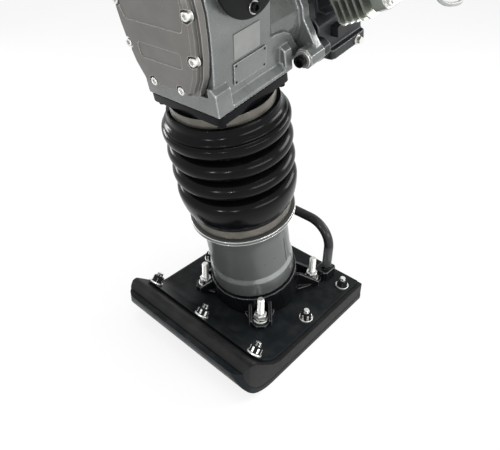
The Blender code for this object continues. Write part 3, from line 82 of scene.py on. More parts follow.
# Sizes of the fastenings: across, tall, washer, washer_thick, bolt and reach, as far as each has them.
SHOE_NUT = (0.0170, 0.0088, 0.0120, 0.0028, 0.0054, 0.0162)
STUD_NUT = (0.0189, 0.0104, 0.0128, 0.0032, 0.0060, 0.0422)
FLANGE_BOLT = (0.0110, 0.0060, 0.0080, 0.0016)
COVER_SCREW = (0.0106, 0.0066, 0.0072, 0.0014)
LUG_SCREW = (0.0160, 0.0095)
LUG_BOLT = (0.0150, 0.0085, 0.0122, 0.0022)
STARTER_SCREW = (0.0080, 0.0040, 0.0056, 0.0010)
HEAD_BOLT = (0.0100, 0.0056, 0.0070, 0.0012)
GUARD_SCREW = (0.0080, 0.0036, 0.0060, 0.0010)
MOUNT_BOLT = (0.0126, 0.0046)
MOUNT_NUT = (0.0160, 0.0050, 0.0110, 0.0012)
TANK_BOLT = (0.0100, 0.0050, 0.0080, 0.0012)
CLAMP_SCREW = (0.0070, 0.0030)


def side_height(y: float) -> float:
    """Height of the middle of the handle's side tubes at a distance along the machine."""
    share = (y - HANDLE_FRONT[0]) / (HANDLE_REAR[0] - HANDLE_FRONT[0])
    return HANDLE_FRONT[1] + share * (HANDLE_REAR[1] - HANDLE_FRONT[1])


# Meshes


def ring(radius: float, height: float, sides: int = 48) -> list[Point]:
    """Points of a level circle.

    Args:
        radius: the circle's radius.
        height: its height.
        sides: how many points it has.

    Returns:
        The points in order.
    """
    made = []
    for i in range(sides):
        a = 2 * math.pi * i / sides
        made.append((radius * math.cos(a), radius * math.sin(a), height))
    return made


def ring_outline(radius: float, sides: int) -> list[Point]:
    """A flat circle's outline.

    Args:
        radius: the circle's radius.
        sides: how many points it has.

    Returns:
        The points in order.
    """
    return [(x, y) for x, y, _ in ring(radius, 0.0, sides)]


def hexagon_ring(half: float, height: float, reach: float = math.inf) -> list[Point]:
    """Points of a level hexagon.

    Args:
        half: half its width across the flats.
        height: its height.
        reach: the radius that its corners are turned off to.

    Returns:
        The points in order.
    """
    made = []
    for k in range(HEXAGON_POINTS):
        a = 2 * math.pi * k / HEXAGON_POINTS
        off = (a + math.pi / 6) % (math.pi / 3) - math.pi / 6
        r = min(half / math.cos(math.pi / 6 - abs(off)), reach)
        made.append((r * math.cos(a), r * math.sin(a), height))
    return made


def arc(centre: Point, radius: float, start: float, end: float, steps: int) -> list[Point]:
    """Points on an arc.

    Args:
        centre: the arc's centre.
        radius: its radius.
        start: first angle in degrees.
        end: last angle in degrees.
        steps: how many parts it has.

    Returns:
        The points in order.
    """
    made = []
    for i in range(steps + 1):
        a = math.radians(start + (end - start) * i / steps)
        made.append((centre[0] + radius * math.cos(a), centre[1] + radius * math.sin(a)))
    return made


def rounded(x0: float, x1: float, y0: float, y1: float, radius: float, steps: int = 6) -> list[Point]:
    """A rectangle with rounded corners.

    Args:
        x0: left side.
        x1: right side.
        y0: lower side.
        y1: upper side.
        radius: the corners' radius.
        steps: parts in each corner.

    Returns:
        The outline in order.
    """
    corners = ((x0, y0, 1, 1, 180), (x1, y0, -1, 1, 270), (x1, y1, -1, -1, 0), (x0, y1, 1, -1, 90))
    made = []
    for x, y, sx, sy, start in corners:
        made += arc((x + sx * radius, y + sy * radius), radius, start, start + 90, steps)
    return made


def smooth_path(points: Sequence[Point], step: float) -> list[Vector]:
    """A smooth curve through given points.

    Args:
        points: the points that it passes.
        step: the distance between the points that come back.

    Returns:
        Points along the curve.
    """
    p = [Vector(q) for q in points]
    p = [p[0] * 2 - p[1], *p, p[-1] * 2 - p[-2]]
    made = []
    for i in range(1, len(p) - 2):
        count = max(2, round((p[i + 1] - p[i]).length / step))
        for k in range(count):
            t = k / count
            bend = (2 * p[i - 1] - 5 * p[i] + 4 * p[i + 1] - p[i + 2]) * t**2
            twist = (3 * p[i] - p[i - 1] - 3 * p[i + 1] + p[i + 2]) * t**3
            made.append(0.5 * (2 * p[i] + (p[i + 1] - p[i - 1]) * t + bend + twist))
    made.append(p[-2])
    return made


def bent_path(points: Sequence[Point], radius: float, steps: int = 10) -> list[Vector]:
    """Straight runs joined by arcs, as a tube bender makes them.

    Args:
        points: the corners.
        radius: the bends' radius.
        steps: parts in each bend.

    Returns:
        Points along the tube's middle.
    """
    made = [Vector(points[0])]
    for i in range(1, len(points) - 1):
        here = Vector(points[i])
        before = Vector(points[i - 1]) - here
        after = Vector(points[i + 1]) - here
        half = before.angle(after) / 2
        run = radius / math.tan(half)
        inward = (before.normalized() + after.normalized()).normalized()
        centre = here + inward * (radius / math.sin(half))
        u = here + before.normalized() * run - centre
        v = here + after.normalized() * run - centre
        w = (v - u.normalized() * v.dot(u.normalized())).normalized() * radius
        sweep = u.angle(v)
        for k in range(steps + 1):
            t = sweep * k / steps
            made.append(centre + u * math.cos(t) + w * math.sin(t))
    made.append(Vector(points[-1]))
    return made


class Form:
    """A mesh in the making: closed shells gathered into one piece."""

    def __init__(self, at: Matrix | None = None) -> None:
        """Starts an empty mesh.

        Args:
            at: where the shells that follow are placed in the row's frame.
        """
        self.bm = bmesh.new()
        self.at = at or Matrix.Identity(4)

    def skin(self, rows: Sequence[Sequence[Point]], closed: bool = False, at: Matrix | None = None) -> "Form":
        """Joins rings of equal length with quads.

        Args:
            rows: the rings.
            closed: whether the last ring meets the first; otherwise both ends are capped.
            at: the shell's own place.

        Returns:
            This form.
        """
        place = self.at @ at if at else self.at
        made = [[self.bm.verts.new(place @ Vector(p)) for p in row] for row in rows]
        count = len(made[0])
        for i in range(len(made) if closed else len(made) - 1):
            low, high = made[i], made[(i + 1) % len(made)]
            for j in range(count):
                k = (j + 1) % count
                self.bm.faces.new((low[j], low[k], high[k], high[j]))
        if not closed:
            self.bm.faces.new(list(reversed(made[0])))
            self.bm.faces.new(made[-1])
        return self

    def turned(
        self, profile: Sequence[Point], sides: int = 48, closed: bool = False, at: Matrix | None = None
    ) -> "Form":
        """A turned shell about Z.

        Args:
            profile: pairs of radius and height.
            sides: points round the axis.
            closed: whether the profile's end meets its start.
            at: the shell's own place.

        Returns:
            This form.
        """
        return self.skin([ring(r, z, sides) for r, z in profile], closed, at)

    def drawn(
        self, outline: Sequence[Point], low: float, high: float, axis: str = "Z", at: Matrix | None = None
    ) -> "Form":
        """An outline drawn out along an axis.

        Args:
            outline: the outline's points.
            low: where it starts.
            high: where it ends.
            axis: X or Z.
            at: the shell's own place.

        Returns:
            This form.
        """
        order = {"X": (2, 0, 1), "Z": (0, 1, 2)}[axis]
        rows = []
        for w in (low, high):
            rows.append([tuple((u, v, w)[k] for k in order) for u, v in outline])
        return self.skin(rows, False, at)

    def tube(self, path: Sequence[Vector], radius: float, sides: int = 24, closed: bool = False) -> "Form":
        """A round bar along a path.

        Args:
            path: points along its middle.
            radius: the bar's radius.
            sides: points round it.
            closed: whether its end meets its start.

        Returns:
            This form.
        """
        count = len(path)
        rows, normal = [], Vector((0.13, 0.21, 1.0))
        for i, p in enumerate(path):
            if closed:
                run = path[(i + 1) % count] - path[i - 1]
            else:
                run = path[min(i + 1, count - 1)] - path[max(i - 1, 0)]
            run = run.normalized()
            if i == 0 and abs(run.z) > 0.9:
                normal = Vector((1.0, 0.1, 0.0))
            normal = (normal - run * normal.dot(run)).normalized()
            side = run.cross(normal)
            row = []
            for k in range(sides):
                t = 2 * math.pi * k / sides
                row.append(p + normal * (radius * math.cos(t)) + side * (radius * math.sin(t)))
            rows.append(row)
        return self.skin(rows, closed)

    def thread(self, radius: float, pitch: float, low: float, high: float) -> "Form":
        """A threaded bolt end with a chamfered tip.

        Args:
            radius: the thread's outer radius.
            pitch: the rise of one turn.
            low: where it starts.
            high: its tip.

        Returns:
            This form.
        """
        sides, rows = 20, []
        depth = pitch * 0.54
        count = max(6, round((high - low) / pitch * 6))
        for i in range(count + 1):
            z = low + (high - low) * i / count
            row = []
            for k in range(sides):
                share = (z / pitch - k / sides) % 1.0
                cut = depth * abs(2 * share - 1)
                tip = max(0.0, z - (high - pitch)) * 0.8
                r = min(radius - cut, radius - tip)
                a = 2 * math.pi * k / sides
                row.append((r * math.cos(a), r * math.sin(a), z))
            rows.append(row)
        return self.skin(rows)

    def hexagon(self, across: float, low: float, high: float) -> "Form":
        """A nut or bolt head whose corners are turned off.

        Args:
            across: width across the flats.
            low: its lower face.
            high: its upper face.

        Returns:
            This form.
        """
        half, corner = across / 2, across / math.sqrt(3)
        drop = (corner - half) * 0.62
        face, slope = across * 0.475, across * 0.53
        steps = ((low, face), (low + drop * 0.4, slope), (low + drop, corner), (high - drop, corner))
        steps += ((high - drop * 0.4, slope), (high, face))
        return self.skin([hexagon_ring(half, z, reach) for z, reach in steps])

    def socket_head(
        self, radius: float, tall: float, across: float, deep: float, at: Matrix | None = None
    ) -> "Form":
        """A round cap screw's head with its hexagon socket.

        Args:
            radius: the head's radius.
            tall: its height.
            across: width across the socket's flats.
            deep: how deep the socket is.
            at: the shell's own place.

        Returns:
            This form.
        """
        half, trim = across / 2, 0.0002
        steps = (
            (radius - trim, 0.0), (radius, 0.0003), (radius, tall - 0.0006), (radius - trim, tall - trim)
        )
        rows = [ring(r, z, HEXAGON_POINTS) for r, z in (*steps, (radius - 0.0006, tall))]
        rows += [
            hexagon_ring(half + 0.0004, tall), hexagon_ring(half, tall - 0.0004),
            hexagon_ring(half, tall - deep),
        ]
        return self.skin(rows, False, at)

    def copied(self, node: str) -> "Form":
        """The shape of a node of the frame, welded, with its flat faces made whole.

        Args:
            node: the node's name.

        Returns:
            This form.
        """
        self.bm.from_mesh(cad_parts[node].data)
        bmesh.ops.remove_doubles(self.bm, verts=self.bm.verts, dist=0.00001)
        limit = math.radians(0.6)
        bmesh.ops.dissolve_limit(self.bm, angle_limit=limit, verts=self.bm.verts, edges=self.bm.edges)
        return self

    def piece(
        self,
        name: str,
        finish: "Finish",
        body: str,
        edge: float = 0.0,
        steps: int = 2,
        sharp: float = 35.0,
        stands_for: Sequence[str] = (),
    ) -> bpy.types.Object:
        """Turns the form into an object that rides on a body.

        Args:
            name: the piece's name.
            finish: what it is covered with.
            body: the body that carries it.
            edge: width of its rounded edges.
            steps: parts across each rounded edge.
            sharp: angle above which an edge is shaded sharp.
            stands_for: the frame's nodes that it replaces.

        Returns:
            The new object.
        """
        bmesh.ops.recalc_face_normals(self.bm, faces=self.bm.faces)
        mesh = bpy.data.meshes.new(name)
        self.bm.to_mesh(mesh)
        self.bm.free()
        if "custom_normal" in mesh.attributes:
            mesh.attributes.remove(mesh.attributes["custom_normal"])
        mesh.materials.clear()
        mesh.shade_smooth()
        mesh.set_sharp_from_angle(angle=math.radians(sharp))
        made = bpy.data.objects.new(name, mesh)
        mesh.materials.append(finish.material())
        bpy.context.scene.collection.objects.link(made)
        if edge:
            chamfer(made, edge, steps)
        if body:
            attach(made, body)
        if stands_for:
            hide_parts(*stands_for)
        log.info("%s rides on %s", name, body or "two bodies")
        return made


# Finishes


class Grain(Enum):
    """What the surface of a finish feels like."""

    POWDER = "powder"
    CAST = "cast"
    BRUSHED = "brushed"
    PLATED = "plated"
    MOULDED = "moulded"
    RUBBER = "rubber"
    FOAM = "foam"


def add_node(
    tree: bpy.types.NodeTree, kind: str, values: dict | None = None, **settings: object
) -> bpy.types.Node:
    """Adds a node to a network.

    Args:
        tree: the network.
        kind: the node's type.
        values: its inputs, as numbers or as sockets to link.
        settings: its own properties.

    Returns:
        The node.
    """
    made = tree.nodes.new(kind)
    for key, value in settings.items():
        setattr(made, key, value)
    for key, value in (values or {}).items():
        if isinstance(value, bpy.types.NodeSocket):
            tree.links.new(value, made.inputs[key])
        else:
            made.inputs[key].default_value = value
    return made


class Graph:
    """The node network of one material."""

    def __init__(self, name: str) -> None:
        """Starts a material.

        Args:
            name: the material's name.
        """
        self.material = bpy.data.materials.new(name)
        self.material.use_nodes = True
        self.tree = self.material.node_tree
        self.shader = self.tree.nodes["Principled BSDF"]
        self.where = self.node("ShaderNodeTexCoord").outputs["Object"]

    def node(self, kind: str, values: dict | None = None, **settings: object) -> bpy.types.Node:
        """Adds a node to the material, as add_node does."""
        return add_node(self.tree, kind, values, **settings)

    def noise(self, size: float, detail: float = 3.0, stretch: Point = (1, 1, 1)) -> bpy.types.NodeSocket:
        """Soft noise.

        Args:
            size: the width of its spots in metres.
            detail: how many finer layers it has.
            stretch: how much closer its spots lie along each axis.

        Returns:
            Its value from 0 to 1.
        """
        place = self.where
        if tuple(stretch) != (1, 1, 1):
            turned = self.node("ShaderNodeMapping", {"Vector": place, "Scale": tuple(stretch)})
            place = turned.outputs["Vector"]
        values = {"Vector": place, "Scale": 1.0 / size, "Detail": detail, "Roughness": 0.55}
        return self.node("ShaderNodeTexNoise", values).outputs["Fac"]

    def cells(self, size: float, feature: str = "F1") -> bpy.types.NodeSocket:
        """Cells of a given width.

        Args:
            size: the cells' width in metres.
            feature: what is measured in them.

        Returns:
            The distance in each cell.
        """
        values = {"Vector": self.where, "Scale": 1.0 / size}
        return self.node("ShaderNodeTexVoronoi", values, feature=feature).outputs["Distance"]

    def span(
        self, value: bpy.types.NodeSocket, a: float, b: float, c: float, d: float
    ) -> bpy.types.NodeSocket:
        """Carries a value from the range a to b over to c to d.

        Args:
            value: what is carried over.
            a: start of the old range.
            b: end of the old range.
            c: start of the new range.
            d: end of the new range.

        Returns:
            The value in the new range.
        """
        values = {0: value, 1: a, 2: b, 3: c, 4: d}
        return self.node("ShaderNodeMapRange", values, clamp=True).outputs[0]

    def times(
        self, a: bpy.types.NodeSocket, b: bpy.types.NodeSocket, way: str = "MULTIPLY"
    ) -> bpy.types.NodeSocket:
        """Two varying values multiplied, or joined in another way.

        Args:
            a: the first value.
            b: the second value.
            way: the operation.

        Returns:
            The result.
        """
        return self.node("ShaderNodeMath", {0: a, 1: b}, operation=way).outputs[0]

    def mixed(self, share: bpy.types.NodeSocket, a: object, b: object) -> bpy.types.NodeSocket:
        """Two colours mixed by a varying share.

        Args:
            share: 0 for the first colour, 1 for the second.
            a: the first colour.
            b: the second colour.

        Returns:
            The mixed colour.
        """
        made = self.node("ShaderNodeMix", data_type="RGBA")
        for index, value in ((0, share), (6, a), (7, b)):
            if isinstance(value, bpy.types.NodeSocket):
                self.tree.links.new(value, made.inputs[index])
            else:
                made.inputs[index].default_value = (*value, 1.0)
        return made.outputs[2]

    def edges(self, reach: float) -> bpy.types.NodeSocket:
        """Where the surface turns an edge.

        Args:
            reach: how far from the edge it shows.

        Returns:
            1 on edges and 0 on flat ground.
        """
        soft = self.node("ShaderNodeBevel", {"Radius": reach}, samples=6).outputs["Normal"]
        hard = self.node("ShaderNodeNewGeometry").outputs["Normal"]
        dot = self.node("ShaderNodeVectorMath", {0: soft, 1: hard}, operation="DOT_PRODUCT").outputs["Value"]
        return self.span(dot, 0.985, 0.86, 0.0, 1.0)

    def crests(self) -> bpy.types.NodeSocket:
        """1 along the round edges of a casting and 0 on flat ground."""
        point = self.node("ShaderNodeNewGeometry").outputs["Pointiness"]
        return self.span(point, 0.515, 0.565, 0.0, 1.0)

    def upward(self) -> bpy.types.NodeSocket:
        """1 where the surface looks up and 0 on its sides."""
        normal = self.node("ShaderNodeNewGeometry").outputs["Normal"]
        height = self.node("ShaderNodeSeparateXYZ", {0: normal}).outputs["Z"]
        return self.span(height, 0.35, 0.95, 0.0, 1.0)

    def bump(self, height: bpy.types.NodeSocket, strength: float, distance: float) -> None:
        """Raises the surface by a height.

        Args:
            height: the varying height.
            strength: how much of it shows.
            distance: how high it stands in metres.
        """
        values = {"Height": height, "Strength": strength, "Distance": distance}
        made = self.node("ShaderNodeBump", values)
        self.tree.links.new(made.outputs["Normal"], self.shader.inputs["Normal"])

    def feed(self, socket: str, value: bpy.types.NodeSocket) -> None:
        """Links a value to the shader."""
        self.tree.links.new(value, self.shader.inputs[socket])


@dataclass(frozen=True)
class Finish:
    """One finish: its colour, gloss, grain, lighter edges that are worn paint and painted highlight, and
    dust.
    """

    name: str
    slot: str
    colour: Colour
    drift: Colour
    rough: tuple[float, float]
    grain: Grain
    size: float
    depth: float
    metallic: float = 0.0
    specular: float = 0.5
    coat: float = 0.0
    wear_and_highlight: float = 0.0
    worn_and_highlight_colour: Colour = (0.45, 0.44, 0.42)
    dust: float = 0.0
    patch: float = 0.05
    edge_mark_start: float = 0.42
    soft: bool = False
    stretch: Point = (1, 1, 1)

    def height(self, graph: Graph) -> bpy.types.NodeSocket:
        """The finish's grain as a height.

        Args:
            graph: the material's nodes.

        Returns:
            The height from 0 to 1.
        """
        if self.grain is Grain.CAST:
            pits = graph.span(graph.cells(self.size * 1.6), 0.0, 0.75, 0.0, 1.0)
            return graph.times(graph.noise(self.size, 4.0), pits, "ADD")
        if self.grain is Grain.BRUSHED:
            return graph.noise(self.size, 3.0, self.stretch)
        if self.grain is Grain.MOULDED:
            return graph.times(graph.cells(self.size), graph.noise(self.size * 3, 2.0), "ADD")
        if self.grain is Grain.FOAM:
            return graph.cells(self.size, "DISTANCE_TO_EDGE")
        if self.grain is Grain.RUBBER:
            return graph.times(graph.noise(self.size, 2.0), graph.noise(self.size * 9, 1.0), "ADD")
        return graph.noise(self.size, 2.0)

    def material(self) -> bpy.types.Material:
        """The finish's material, made once.

        Returns:
            The material.
        """
        found = bpy.data.materials.get(self.name)
        if found:
            return found
        graph = Graph(self.name)
        shader = graph.shader.inputs
        shader["Metallic"].default_value = self.metallic
        shader["Specular IOR Level"].default_value = self.specular
        if self.coat:
            shader["Coat Weight"].default_value = self.coat
            shader["Coat Roughness"].default_value = COAT_ROUGHNESS
        patches = graph.span(graph.noise(self.patch, 4.0), 0.32, 0.68, 0.0, 1.0)
        colour = graph.mixed(patches, self.colour, self.drift)
        marks = graph.noise(self.patch * 0.22, 6.0, self.stretch)
        rough = graph.span(marks, 0.3, 0.7, self.rough[0], self.rough[1])
        if self.dust:
            specks = graph.span(graph.noise(self.patch * 0.5, 8.0), 0.44, 0.74, 0.0, self.dust)
            lying = graph.times(specks, graph.upward())
            colour = graph.mixed(lying, colour, DUST_COLOUR)
            rough = graph.times(rough, graph.span(lying, 0.0, 1.0, 0.0, DUST_ROUGHNESS), "ADD")
        # Edges and crests turn lighter: partly worn paint, partly a painted highlight where they catch the
        # light.
        if self.wear_and_highlight:
            edge_marks = graph.span(graph.noise(EDGE_MARK_SIZE, 6.0), self.edge_mark_start, self.edge_mark_start + EDGE_MARK_FADE, 0.0, self.wear_and_highlight)
            turned = graph.crests() if self.soft else graph.edges(EDGE_REACH)
            wear_and_highlight_mask = graph.times(turned, edge_marks)
            colour = graph.mixed(wear_and_highlight_mask, colour, self.worn_and_highlight_colour)
            if not self.metallic:
                graph.feed("Metallic", graph.span(wear_and_highlight_mask, 0.2, 0.8, 0.0, 0.8))
        graph.feed("Base Color", colour)
        graph.feed("Roughness", rough)
        graph.bump(self.height(graph), BUMP_STRENGTH, self.depth)
        return graph.material


SHOE_BLACK = Finish(
    "shoe_paint", "shoe_black", (
        0.0070, 0.0088, 0.0100
    ), (0.0105, 0.0130, 0.0145), (0.30, 0.44), Grain.POWDER,
    0.0011, 0.00005, specular=0.06, wear_and_highlight=0.25, worn_and_highlight_colour=(0.06, 0.06, 0.06), dust=0.05,
)
PAD_BLACK = Finish(
    "pad_board", "pad_black", (0.0060, 0.0062, 0.0066), (0.0100, 0.0100, 0.0105), (0.44, 0.60), Grain.BRUSHED,
    0.0016, 0.00008, specular=0.16, stretch=(1.0, 1.0, 9.0), dust=0.03,
)
BLACK_PAINT = Finish(
    "black_gloss", "black_paint", (
        0.0026, 0.0028, 0.0034
    ), (0.0044, 0.0047, 0.0054), (0.12, 0.26), Grain.POWDER,
    0.0030, 0.00003, specular=0.09, wear_and_highlight=0.12, worn_and_highlight_colour=(0.08, 0.08, 0.08), dust=0.012,
)
SILVER_PAINT = Finish(
    "silver_tube", "silver_paint", (0.088, 0.094, 0.093), (0.104, 0.110, 0.107), (0.26, 0.38), Grain.POWDER,
    0.0009, 0.00001, metallic=0.35, coat=0.15, patch=0.12,
)
# Bright bare metal for the rim's two corners: partly turned metal, partly a painted highlight along the rim.
RIM_METAL_AND_HIGHLIGHT = Finish(
    "rim_metal_and_highlight", "silver_paint", (0.74, 0.75, 0.72), (0.82, 0.83, 0.80), (0.14, 0.26), Grain.BRUSHED,
    0.0015, 0.00002, metallic=0.85, stretch=(1.0, 1.0, 14.0),
)
# Its pale lines along the casting's round crests are partly worn paint and partly a painted highlight.
CAST_GREY = Finish(
    "cast_silver", "cast_grey", (0.108, 0.117, 0.113), (0.150, 0.160, 0.154), (0.24, 0.38), Grain.CAST,
    0.0011, 0.00004, metallic=0.45, coat=0.35, wear_and_highlight=0.60, worn_and_highlight_colour=(
        0.66, 0.69, 0.70
    ), dust=0.03, edge_mark_start=0.22, soft=True,
)
PLATE_GREY = Finish(
    "plate_enamel", "cast_grey", (0.125, 0.134, 0.130), (0.150, 0.160, 0.154), (0.26, 0.36), Grain.POWDER,
    0.0011, 0.00002, metallic=0.45, coat=0.35, wear_and_highlight=0.90, worn_and_highlight_colour=(0.80, 0.82, 0.82), edge_mark_start=0.10,
)
# Its lighter lines along the casting's ribs and crests are partly worn paint and partly a painted highlight.
FOOT_PAINT = Finish(
    "foot_enamel", "black_paint", (
        0.0034, 0.0036, 0.0044
    ), (0.0052, 0.0055, 0.0064), (0.14, 0.26), Grain.POWDER,
    0.0030, 0.00003, specular=0.15, wear_and_highlight=0.75, worn_and_highlight_colour=(0.16, 0.165, 0.17), dust=0.012, edge_mark_start=0.10, soft=True,
)
# Its pale lines along the cover's edges are partly worn paint and partly a painted highlight.
COVER_GREY = Finish(
    "cover_paint", "cover_grey", (0.098, 0.094, 0.087), (0.128, 0.122, 0.113), (0.28, 0.42), Grain.CAST,
    0.0009, 0.00005, metallic=0.40, coat=0.25, wear_and_highlight=0.80, worn_and_highlight_colour=(0.62, 0.62, 0.60), edge_mark_start=0.20,
)
STRAP_STEEL = Finish(
    "strap", "strap_steel", (0.105, 0.100, 0.086), (0.165, 0.155, 0.135), (0.24, 0.40), Grain.BRUSHED,
    0.0022, 0.00004, metallic=0.85, stretch=(1.0, 1.0, 12.0), patch=0.03,
)
MACHINED = Finish(
    "machined", "machined_steel", (0.50, 0.50, 0.49), (0.60, 0.60, 0.585), (0.20, 0.34), Grain.BRUSHED,
    0.0012, 0.00003, metallic=1.0, stretch=(1.0, 1.0, 10.0), patch=0.02,
)
BRONZE = Finish(
    "bearing_bronze", "bronze", (0.45, 0.29, 0.12), (0.52, 0.35, 0.17), (0.26, 0.40), Grain.BRUSHED,
    0.0012, 0.00003, metallic=1.0, stretch=(1.0, 1.0, 8.0),
)
ZINC = Finish(
    "zinc", "zinc", (0.22, 0.235, 0.22), (0.50, 0.51, 0.48), (0.12, 0.30), Grain.PLATED,
    0.0008, 0.00003, metallic=1.0, patch=0.006,
)
RUBBER = Finish(
    "bellows_rubber", "rubber_black", (
        0.0018, 0.0020, 0.0025
    ), (0.0028, 0.0030, 0.0036), (0.14, 0.23), Grain.RUBBER,
    0.0030, 0.00005, specular=0.11, dust=0.006, patch=0.04,
)
DULL_RUBBER = Finish(
    "mount_rubber", "rubber_black", (
        0.0045, 0.0048, 0.0054
    ), (0.0075, 0.0078, 0.0084), (0.36, 0.54), Grain.RUBBER,
    0.0009, 0.00005, specular=0.10, dust=0.02,
)
ENGINE_GREY = Finish(
    "engine_casting", "engine_grey", (0.012, 0.0135, 0.015), (0.022, 0.024, 0.026), (0.28, 0.44), Grain.CAST,
    0.0010, 0.00005, metallic=0.2, specular=0.28, wear_and_highlight=0.6, worn_and_highlight_colour=(
        0.26, 0.27, 0.27
    ), dust=0.03, edge_mark_start=0.15, soft=True,
)
CAST_ALLOY = Finish(
    "cast_alloy", "cast_alloy", (0.085, 0.095, 0.080), (0.140, 0.150, 0.132), (0.32, 0.50), Grain.CAST,
    0.0012, 0.00007, metallic=0.6, wear_and_highlight=0.5, worn_and_highlight_colour=(0.50, 0.50, 0.48), patch=0.03,
)
HANDLE_GREY = Finish(
    "handle_paint", "handle_grey", (0.26, 0.27, 0.275), (0.31, 0.32, 0.325), (0.24, 0.34), Grain.POWDER,
    0.0016, 0.00002, metallic=0.3, coat=0.25, patch=0.11,
)
BLACK_PLASTIC = Finish(
    "black_mould", "black_plastic", (
        0.0070, 0.0070, 0.0076
    ), (0.0110, 0.0110, 0.0118), (0.34, 0.48), Grain.MOULDED,
    0.0007, 0.00005, specular=0.26, dust=0.03,
)
RED_PLASTIC = Finish(
    "red_mould", "red_plastic", (0.42, 0.018, 0.013), (0.50, 0.030, 0.020), (0.32, 0.44), Grain.MOULDED,
    0.0007, 0.00004,
)
RED_FOAM = Finish(
    "red_foam", "red_foam", (0.36, 0.03, 0.022), (0.44, 0.045, 0.03), (0.80, 0.92), Grain.FOAM,
    0.0022, 0.0007, specular=0.2,
)
CABLE_GREY = Finish(
    "cable_sheath", "cable_grey", (0.20, 0.205, 0.195), (0.26, 0.265, 0.25), (0.34, 0.46), Grain.MOULDED,
    0.0009, 0.00003,
)
# Lighter than the tube's paint: partly bare metal, partly a painted highlight on the shoulder's upward-facing
# ledge.
SHOULDER_PAINT_AND_HIGHLIGHT = Finish(
    "tube_shoulder_paint_and_highlight", "silver_paint", (
        0.21, 0.225, 0.22
    ), (0.30, 0.32, 0.31), (0.16, 0.28), Grain.BRUSHED,
    0.0012, 0.00002, metallic=0.60, coat=0.4, stretch=(1.0, 1.0, 6.0), patch=0.03,
)
FOIL = Finish(
    "bare_foil", "machined_steel", (0.215, 0.220, 0.215), (0.250, 0.255, 0.248), (0.34, 0.44), Grain.BRUSHED,
    0.0010, 0.00002, metallic=0.45, stretch=(1.0, 8.0, 1.0), patch=0.02,
)


# Sub-assemblies


@dataclass
class Fastener:
    """A threaded fastening that stands on a face: washer, nut or head, and bolt end."""

    name: str
    place: Matrix
    body: str
    across: float
    tall: float
    washer: float = 0.0
    washer_thick: float = 0.0028
    bolt: float = 0.0
    reach: float = 0.0
    socket: bool = False
    finish: Finish = ZINC

    def build(self) -> bpy.types.Object:
        """Makes the fastening.

        Returns:
            The piece.
        """
        form = Form(self.place)
        base = 0.0
        if self.washer:
            base = self.washer_thick
            r, c = self.washer, 0.0004
            form.turned([(r - c, 0.0), (r, c), (r, base - c), (r - c, base)], 40)
        if self.socket:
            across = self.across * 0.50
            form.socket_head(
                self.across / 2, self.tall, across, self.tall * 0.55, Matrix.Translation((0, 0, base))
            )
            return form.piece(self.name, self.finish, self.body, sharp=38.0)
        top = base + self.tall
        form.hexagon(self.across, base, top)
        if self.bolt:
            form.thread(self.bolt, self.bolt * 0.29, top - 0.001, base + self.reach)
        else:
            r = self.across * 0.36
            form.turned([(r, top - 0.0005), (r, top + 0.0004), (r * 0.9, top + 0.0006)], 30)
        return form.piece(self.name, self.finish, self.body, sharp=38.0)


@dataclass
class Shoe:
    """The sole, its pad, the steel plate and the seven bolts through them."""

    plate_top: float = 0.0378
    bolt_x: float = 0.1162
    rows: tuple[float, float] = (0.1143, 0.0035)
    toe_y: float = -0.134
    toe_line: tuple[float, float] = (-0.1606, 0.0645)
    toe_thick: float = 0.013
    out: float = 0.0048
    slope: float = math.radians(40.0)

    def bolt_places(self) -> list[Matrix]:
        """Where the bolts stand on the plate.

        Returns:
            One matrix for each bolt, its Z along the bolt.
        """
        sides = (-self.bolt_x, self.bolt_x)
        made = [Matrix.Translation((x, y, self.plate_top)) for y in self.rows for x in sides]
        line_z = self.toe_line[1] + self.toe_thick * math.cos(self.slope)
        line_y = self.toe_line[0] + self.toe_thick * math.sin(self.slope)
        z = line_z - (self.toe_y - line_y) * math.tan(self.slope)
        y = self.toe_y + math.sin(self.slope) * self.out
        z += math.cos(self.slope) * self.out
        lean = Matrix.Rotation(-self.slope, 4, "X")
        made += [Matrix.Translation((x, y, z)) @ lean for x in (-self.bolt_x, 0.0, self.bolt_x)]
        return made

    def build(self) -> None:
        """Dresses the shoe."""
        dressed("sole_plate", "sole_shell", SHOE_BLACK, "foot", 0.0012, 3)
        dressed("shoe_pad", "pad_shell", PAD_BLACK, "foot", 0.0010)
        dressed("top_plate", "plate_shell", SHOE_BLACK, "foot", 0.0008)
        for i, place in enumerate(self.bolt_places()):
            turn = Matrix.Rotation(0.4 + 0.7 * i, 4, "Z")
            Fastener(f"shoe_nut_{i + 1}", place @ turn, "foot", *SHOE_NUT).build()


